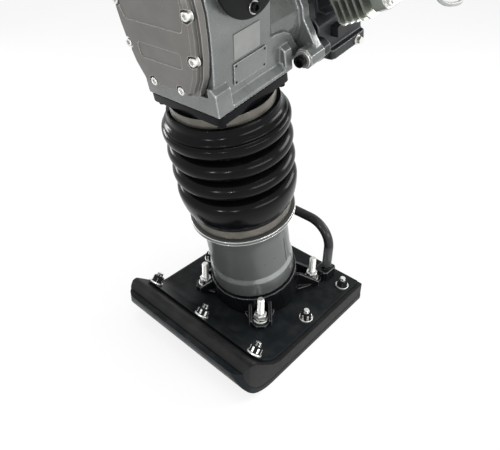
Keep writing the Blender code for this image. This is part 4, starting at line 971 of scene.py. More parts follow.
@dataclass
class FootCasting:
    """The ribbed casting under the leg, its four studs and the lifting loop."""

    stud_x: float = 0.066
    stud_y: tuple[float, float] = (-0.058, 0.0867)
    lug_top: float = 0.046
    loop_y: float = 0.118
    loop_x: float = 0.077
    loop_top: float = 0.149
    loop_radius: float = 0.0087

    def build(self) -> None:
        """Dresses the casting and fits the studs and the loop."""
        soften(dressed("foot_casting", "foot_cast", FOOT_PAINT, "foot"), 0.0011, 7)
        count = 0
        for y in self.stud_y:
            for x in (-self.stud_x, self.stud_x):
                count += 1
                place = Matrix.Translation((x, y, self.lug_top)) @ Matrix.Rotation(0.5 * count, 4, "Z")
                Fastener(f"foot_stud_{count}", place, "foot", *STUD_NUT).build()
        x, y, top = self.loop_x, self.loop_y, self.loop_top
        points = [(x, y, 0.0485), (x, y, top), (-x, y, top), (-x, y, 0.0485)]
        loop = Form().tube(bent_path(points, 0.046, 14), self.loop_radius, 28)
        loop.piece("lifting_bow", FOOT_PAINT, "foot", stands_for=["lifting_loop"])
        for side in (-1, 1):
            bead = Form(Matrix.Translation((side * x, y, 0.0602)))
            radius = self.loop_radius
            profile = [
                (radius + 0.0032, -0.0008), (radius + 0.0028, 0.0010), (radius + 0.0012, 0.0026),
                (radius + 0.0002, 0.0032), (radius - 0.001, 0.0),
            ]
            bead.turned(profile, 40, True)
            bead.piece(f"loop_weld_{'l' if side > 0 else 'r'}", BLACK_PAINT, "foot", sharp=60.0)


def dressed(
    node: str, name: str, finish: Finish, body: str = "machine", edge: float = 0.0, steps: int = 2
) -> bpy.types.Object:
    """Makes a piece with a node's own shape, its sharp edges rounded.

    Args:
        node: the node that it copies and replaces.
        name: the piece's name.
        finish: what it is covered with.
        body: the body that carries it.
        edge: width of its rounded edges.
        steps: parts across each rounded edge.

    Returns:
        The piece.
    """
    return Form().copied(node).piece(name, finish, body, edge, steps, stands_for=[node])


def soften(piece: bpy.types.Object, voxel: float, rounds: int) -> None:
    """Gives a casting its round edges and corners.

    Args:
        piece: the casting's object.
        voxel: the size of the new mesh's faces.
        rounds: how often it is smoothed.
    """
    remesh = piece.modifiers.new("skin", "REMESH")
    remesh.mode = "VOXEL"
    remesh.voxel_size = voxel
    remesh.use_smooth_shade = True
    smooth = piece.modifiers.new("round", "SMOOTH")
    smooth.factor = 0.5
    smooth.iterations = rounds


def carve(piece: bpy.types.Object, tool: Form) -> None:
    """Cuts a form out of a piece.

    Args:
        piece: what is cut.
        tool: the form that is taken away.
    """
    bmesh.ops.recalc_face_normals(tool.bm, faces=tool.bm.faces)
    mesh = bpy.data.meshes.new("tool")
    tool.bm.to_mesh(mesh)
    tool.bm.free()
    cutter = bpy.data.objects.new("tool", mesh)
    bpy.context.scene.collection.objects.link(cutter)
    step = piece.modifiers.new("carve", "BOOLEAN")
    step.object = cutter
    step.operation = "DIFFERENCE"
    step.solver = "EXACT"
    graph = bpy.context.evaluated_depsgraph_get()
    made = bpy.data.meshes.new_from_object(piece.evaluated_get(graph))
    piece.modifiers.clear()
    piece.data = made
    bpy.data.objects.remove(cutter)
    made.set_sharp_from_angle(angle=math.radians(35.0))


def chamfer(piece: bpy.types.Object, width: float, steps: int = 2) -> None:
    """Rounds a piece's sharp edges.

    Args:
        piece: the piece.
        width: the rounding's width.
        steps: parts across it.
    """
    step = piece.modifiers.new("edges", "BEVEL")
    step.width = width
    step.segments = steps
    step.limit_method = "ANGLE"
    step.angle_limit = math.radians(28.0)
    step.harden_normals = True


@dataclass
class SpringLeg:
    """The spring cylinder with its bright rim, the two straps and the flange above."""

    sides: int = 120
    # Turn about the leg of the thin black strip on the tube.
    seam: float = 13.0
    coil: float = 0.0345
    wire: float = 0.0036

    def cylinder(self) -> None:
        """Makes the tube round the springs."""
        outer = [(0.0655, 0.0603), (0.0690, 0.0606), (0.0709, 0.0620), (0.0715, 0.0640), (0.0715, 0.0905)]
        outer += [(0.0713, 0.0920), (0.0706, 0.0945), (0.0695, 0.0975), (0.0690, 0.1010), (0.0690, 0.1480)]
        outer += [
            (0.0693, 0.1600), (0.0704, 0.1730), (0.0722, 0.1830), (0.0744, 0.1905), (0.0762, 0.1960),
            (0.0782, 0.1992),
        ]
        body = outer + [
            (0.0782, 0.2003), (0.0715, 0.2003), (0.0715, 0.2245), (0.0480, 0.2255), (0.0480, 0.3280),
            (0.0455, 0.3300),
        ]
        body += [(0.0420, 0.3300), (0.0420, 0.0760), (0.0060, 0.0760)]
        form = Form(LEG).turned(body, self.sides)
        form.piece("spring_tube", SILVER_PAINT, "foot", sharp=40.0, stands_for=["spring_cylinder"])
        rim = [
            (0.0716, 0.2001), (0.0842, 0.2001), (0.0850, 0.2009), (0.0850, 0.2058), (0.0842, 0.2066),
            (0.0716, 0.2066),
        ]
        Form(LEG).turned(rim, self.sides, True).piece("tube_rim", SILVER_PAINT, "foot", sharp=40.0)
        # Thin bright rings on the rim's two outer corners: partly bare turned metal, partly a painted
        # highlight along the rim.
        for name, low in (("rim_corner_top", 0.20585), ("rim_corner_low", 0.20020)):
            corner = [
                (0.0839, low), (0.0849, low), (0.0852, low + 0.0003), (0.0852, low + 0.0006),
                (0.0849, low + 0.0009), (0.0839, low + 0.0009),
            ]
            Form(LEG).turned(corner, self.sides, True).piece(name, RIM_METAL_AND_HIGHLIGHT, "foot", sharp=50.0)
        # The shoulder ring takes a lighter finish, partly a painted highlight of its upward-facing ledge.
        step = [
            (0.0709, 0.0905), (0.0716, 0.0907), (0.0715, 0.0922), (0.0708, 0.0947), (0.0697, 0.0976),
            (0.0692, 0.1004), (0.0686, 0.1006),
        ]
        Form(LEG).turned([*step, (0.0680, 0.0960)], self.sides, True).piece(
            "tube_shoulder", SHOULDER_PAINT_AND_HIGHLIGHT, "foot", sharp=50.0
        )
        # A thin black strip up the side of the tube.
        dark_strip = Form(LEG @ Matrix.Rotation(math.radians(self.seam), 4, "Z"))
        dark_strip.drawn(
            [(0.0686, -0.00045), (0.06935, -0.00045), (0.06935, 0.00045), (0.0686, 0.00045)], 0.1010, 0.1560
        )
        dark_strip.piece("tube_dark_strip", BLACK_PAINT, "foot")

    def strap(self, name: str, radius: float, low: float, high: float, body: str, node: str) -> None:
        """Makes a strap open at the rear, with its screw.

        Args:
            name: the strap's name.
            radius: its inner radius.
            low: its lower edge up the leg.
            high: its upper edge up the leg.
            body: what carries it.
            node: the node that it replaces.
        """
        thick, ear, edge = 0.0016, 0.013, 0.0022
        opened = math.degrees(edge / radius)
        inside = arc((0, 0), radius, 90 + opened, 450 - opened, 110)
        outside = arc((0, 0), radius + thick, 450 - opened - 1.4, 90 + opened + 1.4, 110)
        outline = inside + [(edge, radius + ear), (edge + thick, radius + ear)] + outside
        outline += [(-edge - thick, radius + ear), (-edge, radius + ear)]
        Form(LEG).drawn(outline, low, high).piece(name, STRAP_STEEL, body, 0.0004, 2, stands_for=[node])
        middle = Vector((0.0, radius + 0.0085, (low + high) / 2))
        across = LEG @ Matrix.Translation(middle) @ OUT_LEFT
        screw = Form(across)
        screw.thread(0.0024, 0.0008, -0.0105, 0.0115)
        screw.hexagon(0.0082, -0.0078, -0.0040)
        head = [
            (0.0042, 0.0038), (0.0045, 0.0042), (0.0045, 0.0080), (0.0038, 0.0088), (0.0026, 0.0088),
            (0.0022, 0.0070),
        ]
        screw.turned(head, 28)
        screw.piece(f"{name}_screw", ZINC, body)

    def spring(self, name: str, node: str, low: float, high: float, turns: int) -> None:
        """Winds a spring with its end turns lying flat.

        Args:
            name: the spring's name.
            node: the node that it replaces.
            low: its lower end up the leg.
            high: its upper end up the leg.
            turns: how many turns it has.
        """
        wire, points, path = self.wire, 28, []
        for i in range(turns * points + 1):
            t = i / (turns * points)
            rise = t - 0.5 / turns
            if t < 1 / turns:
                rise = 0.5 * (t * turns) ** 2 / turns
            elif t > 1 - 1 / turns:
                rise = 1 - 1 / turns - 0.5 * ((1 - t) * turns) ** 2 / turns
            z = low + wire + (high - low - 2 * wire) * rise / (1 - 1 / turns)
            a = 2 * math.pi * i / points
            path.append(Vector((self.coil * math.cos(a), self.coil * math.sin(a), z)))
        Form(LEG).tube(path, wire, 12).piece(name, MACHINED, "foot", sharp=60.0, stands_for=[node])

    def flange(self) -> None:
        """Makes the square flange and the tube that slides round the spring cylinder."""
        made = dressed("guide_cylinder", "flange_cast", BLACK_PAINT, "machine", 0.0009, 3)
        made.data.set_sharp_from_angle(angle=math.radians(40))
        count = 0
        for x in (-0.0565, 0.0565):
            for y in (-0.0580, 0.0580):
                count += 1
                place = LEG @ Matrix.Translation((x, y, 0.4182)) @ Matrix.Rotation(math.pi, 4, "X")
                Fastener(
                    f"flange_bolt_{count}", place, "machine", *FLANGE_BOLT, socket=True, finish=BLACK_PAINT
                ).build()

    def build(self) -> None:
        """Makes the leg's visible pieces."""
        self.cylinder()
        self.strap("lower_strap", 0.0778, 0.2092, 0.2232, "foot", "lower_band")
        self.strap("upper_strap", 0.0725, 0.4036, 0.4172, "machine", "upper_band")
        self.flange()
        self.spring("lower_coil", "lower_spring", 0.0765, 0.1648, 5)
        self.spring("upper_coil", "upper_spring", 0.1862, 0.3025, 6)


@dataclass
class Bellows:
    """The ribbed rubber boot between the spring cylinder and the crankcase."""

    tops: tuple[float, ...] = (0.2677, 0.3036, 0.3386, 0.3730)
    crest: float = 0.0921
    valley: float = 0.0752
    half: float = 0.0144
    sides: int = 144
    steps: int = 10

    def rib(self, top: float, low: float, high: float) -> list[Point]:
        """One round rib.

        Args:
            top: height of its crest.
            low: radius at its lower foot.
            high: radius at its upper foot.

        Returns:
            Pairs of radius and height.
        """
        made = []
        for i in range(-self.steps, self.steps + 1):
            a = math.pi / 2 * i / self.steps
            foot = high if i > 0 else low
            made.append((foot + (self.crest - foot) * math.cos(a) ** 0.86, top + self.half * math.sin(a)))
        return made

    def outer(self) -> list[Point]:
        """The boot's outer side from its lower cuff to its upper cuff.

        Returns:
            Pairs of radius and height.
        """
        made = [
            (0.0770, 0.2075), (0.0770, 0.2234), (0.0776, 0.2238), (0.0794, 0.2248), (0.0818, 0.2274),
            (0.0845, 0.2322),
        ]
        made += [(0.0869, 0.2382), (0.0889, 0.2452), (0.0905, 0.2528), (0.0916, 0.2604)]
        last = len(self.tops) - 1
        for i, top in enumerate(self.tops):
            rib = self.rib(top, self.valley, self.valley if i < last else 0.0800)
            if i == 0:
                rib = rib[self.steps:]
            if i < last:
                made += [*rib, (self.valley - 0.0004, (top + self.tops[i + 1]) / 2 + 0.0003)]
            else:
                made += [p for p in rib if p[1] < 0.3812]
        made += [
            (0.0862, 0.3818), (0.0872, 0.3826), (0.0878, 0.3840), (0.0877, 0.3852), (0.0868, 0.3866),
            (0.0848, 0.3880),
        ]
        made += [
            (0.0824, 0.3900), (0.0808, 0.3925), (0.0800, 0.3955), (0.0796, 0.4030), (0.0793, 0.4034),
            (0.0716, 0.4035), (0.0716, 0.4175),
        ]
        return made

    def build(self) -> None:
        """Makes the boot, which no body carries."""
        inner = [
            (0.0664, 0.4175), (0.0664, 0.4010), (0.0706, 0.3960), (0.0706, 0.2310), (0.0723, 0.2262),
            (0.0723, 0.2075),
        ]
        profile = self.outer() + inner
        form = Form(LEG).turned(profile, self.sides, True)
        made = form.piece("bellows_boot", RUBBER, "", sharp=60.0, stands_for=["bellows"])
        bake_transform(made)


@dataclass
class Crankcase:
    """The cast housing, its front cover with the screws, the bare plates and the bolts at the engine."""

    screws: tuple[Point, ...] = (
        (0.025, 0.465), (0.057, 0.510), (0.0605, 0.563), (0.0465, 0.603), (0.020, 0.6215)
    )
    lugs: tuple[Point, ...] = ((0.074, 0.440), (0.052, 0.5355))

    def housing(self) -> None:
        """Dresses the housing and the cover."""
        soften(dressed("crankcase", "case_cast", CAST_GREY), 0.0012, 5)
        dressed("front_cover", "cover_cast", COVER_GREY, edge=0.0008, steps=3)
        dressed("cover_gasket", "gasket_sheet", BLACK_PLASTIC, edge=0.0002, steps=1)

    def bolts(self) -> None:
        """Fits the cover's screws, each with a thin black ring of painted shadow round it, and the bolts that
        hold the engine.
        """
        for i, (x, s) in enumerate(self.screws):
            for side in (-1, 1):
                tag = "l" if side > 0 else "r"
                place = LEG @ Matrix.Translation(
                    (side * x, -0.0766, s)
                ) @ OUT_FRONT @ Matrix.Rotation(0.6 * i, 4, "Z")
                Fastener(f"cover_screw_{tag}_{i + 1}", place, "machine", *COVER_SCREW, socket=True).build()
                # A thin black ring round each screw: painted shadow of the counterbore's wall, standing for
                # no piece of its own.
                rim = Form(place @ Matrix.Translation((0, 0, 0.0001)))
                rim.turned([(0.0073, 0.0), (0.0081, 0.0), (0.0081, 0.0006), (0.0073, 0.0006)], 36, True)
                rim.piece(f"screw_painted_shadow_{tag}_{i + 1}", BLACK_PAINT, "machine")
        for i, (x, s) in enumerate(self.lugs):
            start = 0.088 if i == 0 else 0.100
            for side in (-1, 1):
                tag = "l" if side > 0 else "r"
                place = LEG @ Matrix.Translation(
                    (side * x, start, s)
                ) @ OUT_FRONT @ Matrix.Rotation(0.3, 4, "Z")
                if i == 0:
                    washer = [
                        (0.0068, 0.0), (0.0118, 0.0), (0.0122, 0.0004), (0.0122, 0.0020), (0.0118, 0.0024),
                        (0.0068, 0.0024),
                    ]
                    Form(place).turned(washer, 40, True).piece(f"lug_washer_{tag}", ZINC, "machine")
                    raised = place @ Matrix.Translation((0, 0, 0.0023))
                    Fastener(
                        f"engine_bolt_{tag}_{i + 1}", raised, "machine", *LUG_SCREW, socket=True,
                        finish=BLACK_PAINT,
                    ).build()
                else:
                    Fastener(f"engine_bolt_{tag}_{i + 1}", place, "machine", *LUG_BOLT).build()

    def plates(self) -> None:
        """Fits the bare data plate, its rivets and a bare foil on the left side."""
        dressed("data_plate", "plain_plate", PLATE_GREY, edge=0.0002, steps=1)
        tilt = math.atan2(0.0056, 0.0330)
        place = LEG @ Matrix.Translation((0.0600, 0.0, 0.4695)) @ Matrix.Rotation(tilt, 4, "Y")
        rivets = Form(place)
        for b in (-0.0255, 0.0265):
            for s in (-0.0115, 0.0115):
                spot = Matrix.Translation((0.0020, b, s)) @ OUT_LEFT
                rivets.turned(
                    [(0.0016, -0.0004), (0.0016, 0.0002), (0.0011, 0.0007), (0.0004, 0.0009)], 16, at=spot
                )
        rivets.piece("plate_rivets", BLACK_PAINT, "machine")
        self.foil()

    def foil(self) -> None:
        """Lays a bare foil on the left side, between the disc and the data plate."""
        high, top = Vector((0.0628, 0.0, 0.4860)), Vector((0.0665, 0.0, 0.5100))
        lean = math.atan2((top - high).x, (top - high).z)
        place = LEG @ Matrix.Translation((high + top) / 2) @ Matrix.Rotation(lean, 4, "Y")
        sheet = Form(place)
        sheet.drawn(rounded(-0.0270, 0.0190, -0.0100, 0.0235, 0.0015, 4), 0.0001, 0.00055, "X")
        sheet.piece("bare_foil_sheet", FOIL, "machine")

    def build(self) -> None:
        """Makes the crankcase's visible pieces."""
        self.housing()
        self.bolts()
        self.plates()


@dataclass
class Engine:
    """The small engine behind the crankcase, with its fan housing and starter."""

    plain: dict[str, tuple[Finish, float]] = field(
        default_factory=lambda: {
            "cylinder": (CAST_ALLOY, 0.0006),
            "cylinder_head": (CAST_ALLOY, 0.0012),
            "oil_filler_cap": (BLACK_PLASTIC, 0.0010),
            "muffler": (ENGINE_GREY, 0.0008),
            "muffler_guard": (BLACK_PAINT, 0.0004),
            "carburettor": (CAST_ALLOY, 0.0006),
            "air_cleaner_base": (BLACK_PLASTIC, 0.0010),
            "air_cleaner_cover": (BLACK_PLASTIC, 0.0016),
            "air_filter": (RED_FOAM, 0.0010),
            "drain_bolt": (ZINC, 0.0002),
            "choke_lever": (BLACK_PLASTIC, 0.0005),
            "fuel_valve": (RED_PLASTIC, 0.0005),
        }
    )
    carriers: dict[str, str] = field(default_factory=lambda: {"choke_lever": "choke", "fuel_valve": "valve"})
    tilt: float = math.radians(24.0)
    housing: float = 0.0860
    louvres: int = 15
    rope_y: float = 0.2975
    rope_lean: float = math.radians(30.0)
    knob: tuple[float, float, float] = (0.086, 0.2325, 0.70)

    def fan(self) -> None:
        """Makes the fan housing with its stiffening bead."""
        r = self.housing
        outer = [(r - 0.0022, 0.2363), (r - 0.0006, 0.2367), (r, 0.2380), (r, 0.2420), (r - 0.0012, 0.2432)]
        outer += [(r - 0.0012, 0.2560), (r, 0.2572), (r, 0.2848), (r - 0.0004, 0.2860)]
        inner = [(0.0830, 0.2860), (0.0830, 0.2400), (0.0160, 0.2400), (0.0160, 0.2363)]
        form = Form(SHAFT).turned(outer + inner, 96, True)
        form.piece("fan_shell", BLACK_PAINT, "machine", stands_for=["fan_housing"])

    def starter(self) -> None:
        """Makes the starter's dome with its louvres, screws and rope guide."""
        outer = [
            (0.0852, 0.2863), (0.0860, 0.2869), (0.0860, 0.2894), (0.0852, 0.2900), (0.0725, 0.2903),
            (0.0706, 0.2912),
        ]
        outer += [
            (0.0698, 0.2930), (0.0690, 0.3025), (0.0680, 0.3062), (0.0655, 0.3092), (0.0610, 0.3115),
            (0.0450, 0.3138),
        ]
        outer += [(0.0250, 0.3160), (0.0220, 0.3170), (0.0150, 0.3170), (0.0130, 0.3158), (0.0115, 0.3156)]
        inner = [(0.0100, 0.3130), (0.0200, 0.3130), (0.0590, 0.3085), (0.0650, 0.3030), (0.0655, 0.2863)]
        form = Form(SHAFT).turned([*outer, *inner], 120, True)
        made = form.piece("starter_dome", BLACK_PLASTIC, "machine", stands_for=["recoil_starter"])
        tool = Form(SHAFT)
        for i in range(self.louvres):
            turn = Matrix.Rotation(2 * math.pi * (i + 0.5) / self.louvres, 4, "Z")
            slot = [
                (0.0275, -0.0017), (0.0560, -0.0036), *arc((0.0560, 0.0), 0.0036, -80, 80, 8),
                (0.0560, 0.0036), (0.0275, 0.0017),
            ]
            tool.drawn(slot, 0.3000, 0.3300, "Z", turn)
        carve(made, tool)
        chamfer(made, 0.0005)
        centre = Form(SHAFT)
        centre.turned([(0.0118, 0.3128), (0.0118, 0.3150), (0.0112, 0.3158), (0.0060, 0.3163)], 48)
        centre.piece("starter_centre", BLACK_PAINT, "machine")
        for i in range(4):
            a = math.pi / 4 + i * math.pi / 2
            place = SHAFT @ Matrix.Translation((0.0790 * math.cos(a), 0.0790 * math.sin(a), 0.2899))
            Fastener(f"starter_screw_{i + 1}", place, "machine", *STARTER_SCREW).build()
        place = LEG @ Matrix.Translation((0, self.rope_y, ENGINE_S)) @ Matrix.Rotation(self.rope_lean, 4, "Y")
        guide = Form(place)
        guide.turned(
            [
                (0.0088, 0.0600), (0.0088, 0.0790), (0.0094, 0.0812), (0.0090, 0.0832), (0.0075, 0.0835),
                (0.0042, 0.0820), (0.0036, 0.0600),
            ],
            48, True,
        )
        guide.piece("rope_guide", BLACK_PLASTIC, "machine")

    def grip(self) -> None:
        """Makes the pull grip with its rope's end."""
        place = LEG @ Matrix.Translation((0, self.rope_y, ENGINE_S)) @ Matrix.Rotation(self.rope_lean, 4, "Y")
        form = Form(place)
        form.turned(
            [
                (0.0024, 0.0520), (0.0024, 0.0842), (0.0064, 0.0845), (0.0074, 0.0856), (0.0082, 0.0892),
                (0.0086, 0.0940), (0.0080, 0.0990), (0.0060, 0.1030),
            ],
            40,
        )
        bar = []
        for i in range(25):
            u = -1 + 2 * i / 24
            bar.append((0.0069 + 0.0007 * math.cos(3 * math.pi * u)) * math.sqrt(max(0.02, 1 - abs(u) ** 6)))
        rows = []
        for i, r in enumerate(bar):
            y = -0.0285 + 0.0570 * i / 24
            lift = 0.0990 + 0.0012 * (y / 0.0285) ** 2
            row = []
            for k in range(32):
                a = 2 * math.pi * k / 32
                row.append((r * math.cos(a), y, lift + r * 0.98 * math.sin(a)))
            rows.append(row)
        form.skin(rows)
        form.piece("starter_handle", BLACK_PLASTIC, "pull_grip", sharp=50.0, stands_for=["starter_grip"])

    def small(self) -> None:
        """Makes the plug cap, the cleaner's knob and the screws of the head and the guard."""
        t, h, b = 0.1475, 0.0506, 0.170
        c, s = math.cos(self.tilt), math.sin(self.tilt)
        place = LEG @ Matrix.Translation(
            (t * c - h * s, b, ENGINE_S + t * s + h * c)
        ) @ Matrix.Rotation(-self.tilt, 4, "Y")
        cap = [(0.0062, 0.0), (0.0062, 0.0080), (0.0090, 0.0086), (0.0096, 0.0096)]
        for i in range(5):
            z = 0.0115 + 0.0030 * i
            cap += [(0.0100, z), (0.0100, z + 0.0014), (0.0091, z + 0.0019), (0.0091, z + 0.0026)]
        cap += [(0.0096, 0.0268), (0.0086, 0.0295), (0.0066, 0.0316), (0.0040, 0.0320)]
        Form(place).turned(cap, 48).piece(
            "plug_boot", BLACK_PLASTIC, "machine", stands_for=["spark_plug_cap"]
        )
        place = LEG @ Matrix.Translation(self.knob)
        form = Form(place)
        form.turned(
            [
                (0.0034, -0.0360), (0.0034, 0.0033), (0.0090, 0.0033), (0.0098, 0.0044), (0.0100, 0.0060),
                (0.0100, 0.0108), (0.0094, 0.0122), (0.0080, 0.0130),
            ],
            48,
        )
        wing = []
        for z, half, thick in (
            (0.0055, 0.0186, 0.0022), (0.0070, 0.0190, 0.0025), (0.0130, 0.0186, 0.0024),
            (0.0152, 0.0174, 0.0019), (0.0160, 0.0160, 0.0012),
        ):
            wing.append([(x, y, z) for x, y in rounded(-half, half, -thick, thick, thick * 0.95, 5)])
        form.skin(wing)
        form.piece("cleaner_wing_knob", BLACK_PLASTIC, "cleaner_nut", 0.0004, 2, stands_for=["cleaner_knob"])
        lying = LEG @ Matrix.Translation((0, 0, ENGINE_S)) @ Matrix.Rotation(math.pi / 2 - self.tilt, 4, "Y")
        for i, (b, h) in enumerate(((0.147, -0.0495), (0.223, -0.0495), (0.147, 0.0425), (0.223, 0.0425))):
            spot = lying @ Matrix.Translation((-h, b, 0.1558))
            Fastener(f"head_bolt_{i + 1}", spot, "machine", *HEAD_BOLT, socket=True).build()
        for i, (x, b) in enumerate(((0.034, 0.155), (0.134, 0.155))):
            spot = LEG @ Matrix.Translation((x, b, 0.6963))
            Fastener(f"guard_screw_{i + 1}", spot, "machine", *GUARD_SCREW).build()

    def build(self) -> None:
        """Dresses the engine's pieces."""
        for node, (finish, edge) in self.plain.items():
            dressed(node, f"{node}_shell", finish, self.carriers.get(node, "machine"), edge)
        soften(dressed("engine_block", "block_cast", ENGINE_GREY), 0.0013, 5)
        self.fan()
        self.starter()
        self.grip()
        self.small()


@dataclass
class Mounts:
    """The handle's two rubber mounts: base disc, waisted block, washers, bolts and nut."""

    disc: tuple[float, float] = (-0.002, 0.5855)
    middle: tuple[float, float] = (0.000, 0.605)
    radius: float = 0.0505
    ring_radius: float = 0.0390

    def build(self) -> None:
        """Makes both mounts."""
        for side, tag in ((1, "left"), (-1, "right")):
            out = Matrix.Rotation(math.radians(90 * side), 4, "Y")
            base = LEG @ Matrix.Translation((0, *self.disc)) @ out
            r = self.radius
            disc = Form(base)
            disc.turned(
                [
                    (r - 0.0015, 0.0763), (r - 0.0003, 0.0768), (r, 0.0777), (r, 0.0802),
                    (r - 0.0006, 0.0813), (r - 0.0020, 0.0818),
                ],
                96,
            )
            disc.piece(f"{tag}_mount_disc", DULL_RUBBER, "machine", stands_for=[f"{tag}_rubber_mount"])
            block = Form(LEG @ Matrix.Translation((0, *self.middle)) @ out)
            profile = [
                (0.0285, 0.0817), (0.0290, 0.0826), (0.0287, 0.0840), (0.0272, 0.0865), (0.0259, 0.0888),
                (0.0255, 0.0905),
            ]
            profile += [
                (0.0259, 0.0923), (0.0272, 0.0948), (0.0287, 0.0968), (0.0290, 0.0980), (0.0290, 0.1034),
                (0.0284, 0.1042),
            ]
            block.turned(profile, 72)
            block.piece(f"{tag}_mount_block", DULL_RUBBER, "machine", sharp=50.0)
            for i in range(3):
                a = math.radians(i * 120)
                spot = base @ Matrix.Translation(
                    (side * self.ring_radius * math.cos(a), self.ring_radius * math.sin(a), 0.0817)
                )
                eye = Form(spot)
                eye.turned(
                    [(0.0064, 0.0), (0.0079, 0.0), (0.0081, 0.0006), (0.0078, 0.0011), (0.0064, 0.0011)], 40,
                    True,
                )
                eye.piece(f"{tag}_mount_washer_{i + 1}", MACHINED, "machine")
                Fastener(
                    f"{tag}_mount_bolt_{i + 1}", spot, "machine", *MOUNT_BOLT, socket=True, finish=BLACK_PAINT
                ).build()
            nut = LEG @ Matrix.Translation((0, *self.middle)) @ out @ Matrix.Translation((0, 0, 0.1104))
            Fastener(f"{tag}_mount_nut", nut, "machine", *MOUNT_NUT).build()


@dataclass
class Tank:
    """The fuel tank on its tabs, with its seam, its filler neck and its fluted cap."""

    low: float = 0.845
    half: float = 0.115
    front: float = -0.012
    rear: float = 0.152
    neck: tuple[float, float] = (0.045, 0.055)
    cap_z: float = 0.959
    flutes: int = 24
    bar_top: float = 0.0113
    tab_thick: float = 0.006

    def ring(self, rise: float, grow: float) -> list[Point]:
        """The tank's outline at a height.

        Args:
            rise: height above the tank's bottom.
            grow: how far it stands out of its middle outline.

        Returns:
            The outline's points.
        """
        x, y0, y1 = self.half + grow, self.front - grow, self.rear + grow
        corner = max(0.012, 0.030 + grow)
        return [(px, py, self.low + rise) for px, py in rounded(-x, x, y0, y1, corner, 10)]

    def shell(self) -> None:
        """Makes the blow-moulded shell with its welded seam."""
        rows = [
            (0.0, -0.0220), (0.0012, -0.0165), (0.0035, -0.0115), (0.0070, -0.0070), (0.0120, -0.0030),
            (0.0180, -0.0006), (0.0220, 0.0),
        ]
        rows += [
            (0.0500, 0.0), (0.0504, 0.0024), (0.0512, 0.0030), (0.0528, 0.0030), (0.0536, 0.0024),
            (0.0540, 0.0),
        ]
        rows += [
            (0.0840, 0.0), (0.0895, -0.0010), (0.0945, -0.0036), (0.0985, -0.0075), (0.1015, -0.0125),
            (0.1032, -0.0165), (0.1040, -0.0210),
        ]
        form = Form().skin([self.ring(rise, grow) for rise, grow in rows])
        form.turned(
            [
                (0.0225, 0.9440), (0.0218, 0.9480), (0.0206, 0.9500), (0.0200, 0.9510), (0.0200, 0.9576),
                (0.0196, 0.9580),
            ],
            64, at=Matrix.Translation((*self.neck, 0.0)),
        )
        form.turned(
            [(0.0042, self.low - 0.0080), (0.0045, self.low - 0.0072), (0.0045, self.low + 0.0060)], 32,
            at=Matrix.Translation((0.070, 0.105, 0.0)),
        )
        form.piece("tank_shell", BLACK_PLASTIC, "machine", sharp=50.0, stands_for=["fuel_tank"])

    def tabs(self) -> None:
        """Makes the four tabs that lie on the cross bars, with their bolts."""
        count = 0
        for x in (-0.070, 0.070):
            for y, start, stop in ((-0.030, -0.040, 0.005), (0.170, 0.140, 0.180)):
                count += 1
                rest = side_height(y) + self.bar_top
                tab = Form().drawn(
                    rounded(x - 0.014, x + 0.014, start, stop, 0.004), rest, rest + self.tab_thick
                )
                tab.piece(f"tank_tab_{count}", BLACK_PLASTIC, "machine", 0.0008, 2)
                place = Matrix.Translation((x, y, rest + self.tab_thick))
                Fastener(f"tank_bolt_{count}", place, "machine", *TANK_BOLT).build()

    def cap(self) -> None:
        """Makes the fluted cap."""
        sides, rows = self.flutes * 6, []
        profile = (
            (0.0240, -0.0007, 0.0), (0.0252, -0.0002, 0.3), (0.0258, 0.0010, 1.0), (0.0260, 0.0030, 1.0),
            (0.0260, 0.0100, 1.0),
        )
        profile += (
            (0.0256, 0.0118, 0.8), (0.0246, 0.0132, 0.3), (0.0232, 0.0138, 0.0), (0.0205, 0.0138, 0.0),
            (0.0198, 0.0130, 0.0), (0.0120, 0.0130, 0.0),
        )
        for radius, z, share in profile:
            row = []
            for k in range(sides):
                a = 2 * math.pi * k / sides
                r = radius - 0.0013 * share * (0.5 - 0.5 * math.cos(a * self.flutes)) ** 2
                row.append((r * math.cos(a), r * math.sin(a), z))
            rows.append(row)
        form = Form(Matrix.Translation((*self.neck, self.cap_z))).skin(rows)
        form.turned([(0.0150, -0.0150), (0.0150, -0.0006)], 48)
        form.piece("tank_cap_fluted", BLACK_PLASTIC, "tank_cap", sharp=50.0, stands_for=["fuel_cap"])

    def build(self) -> None:
        """Makes the tank, its tabs and its cap."""
        self.shell()
        self.tabs()
        self.cap()


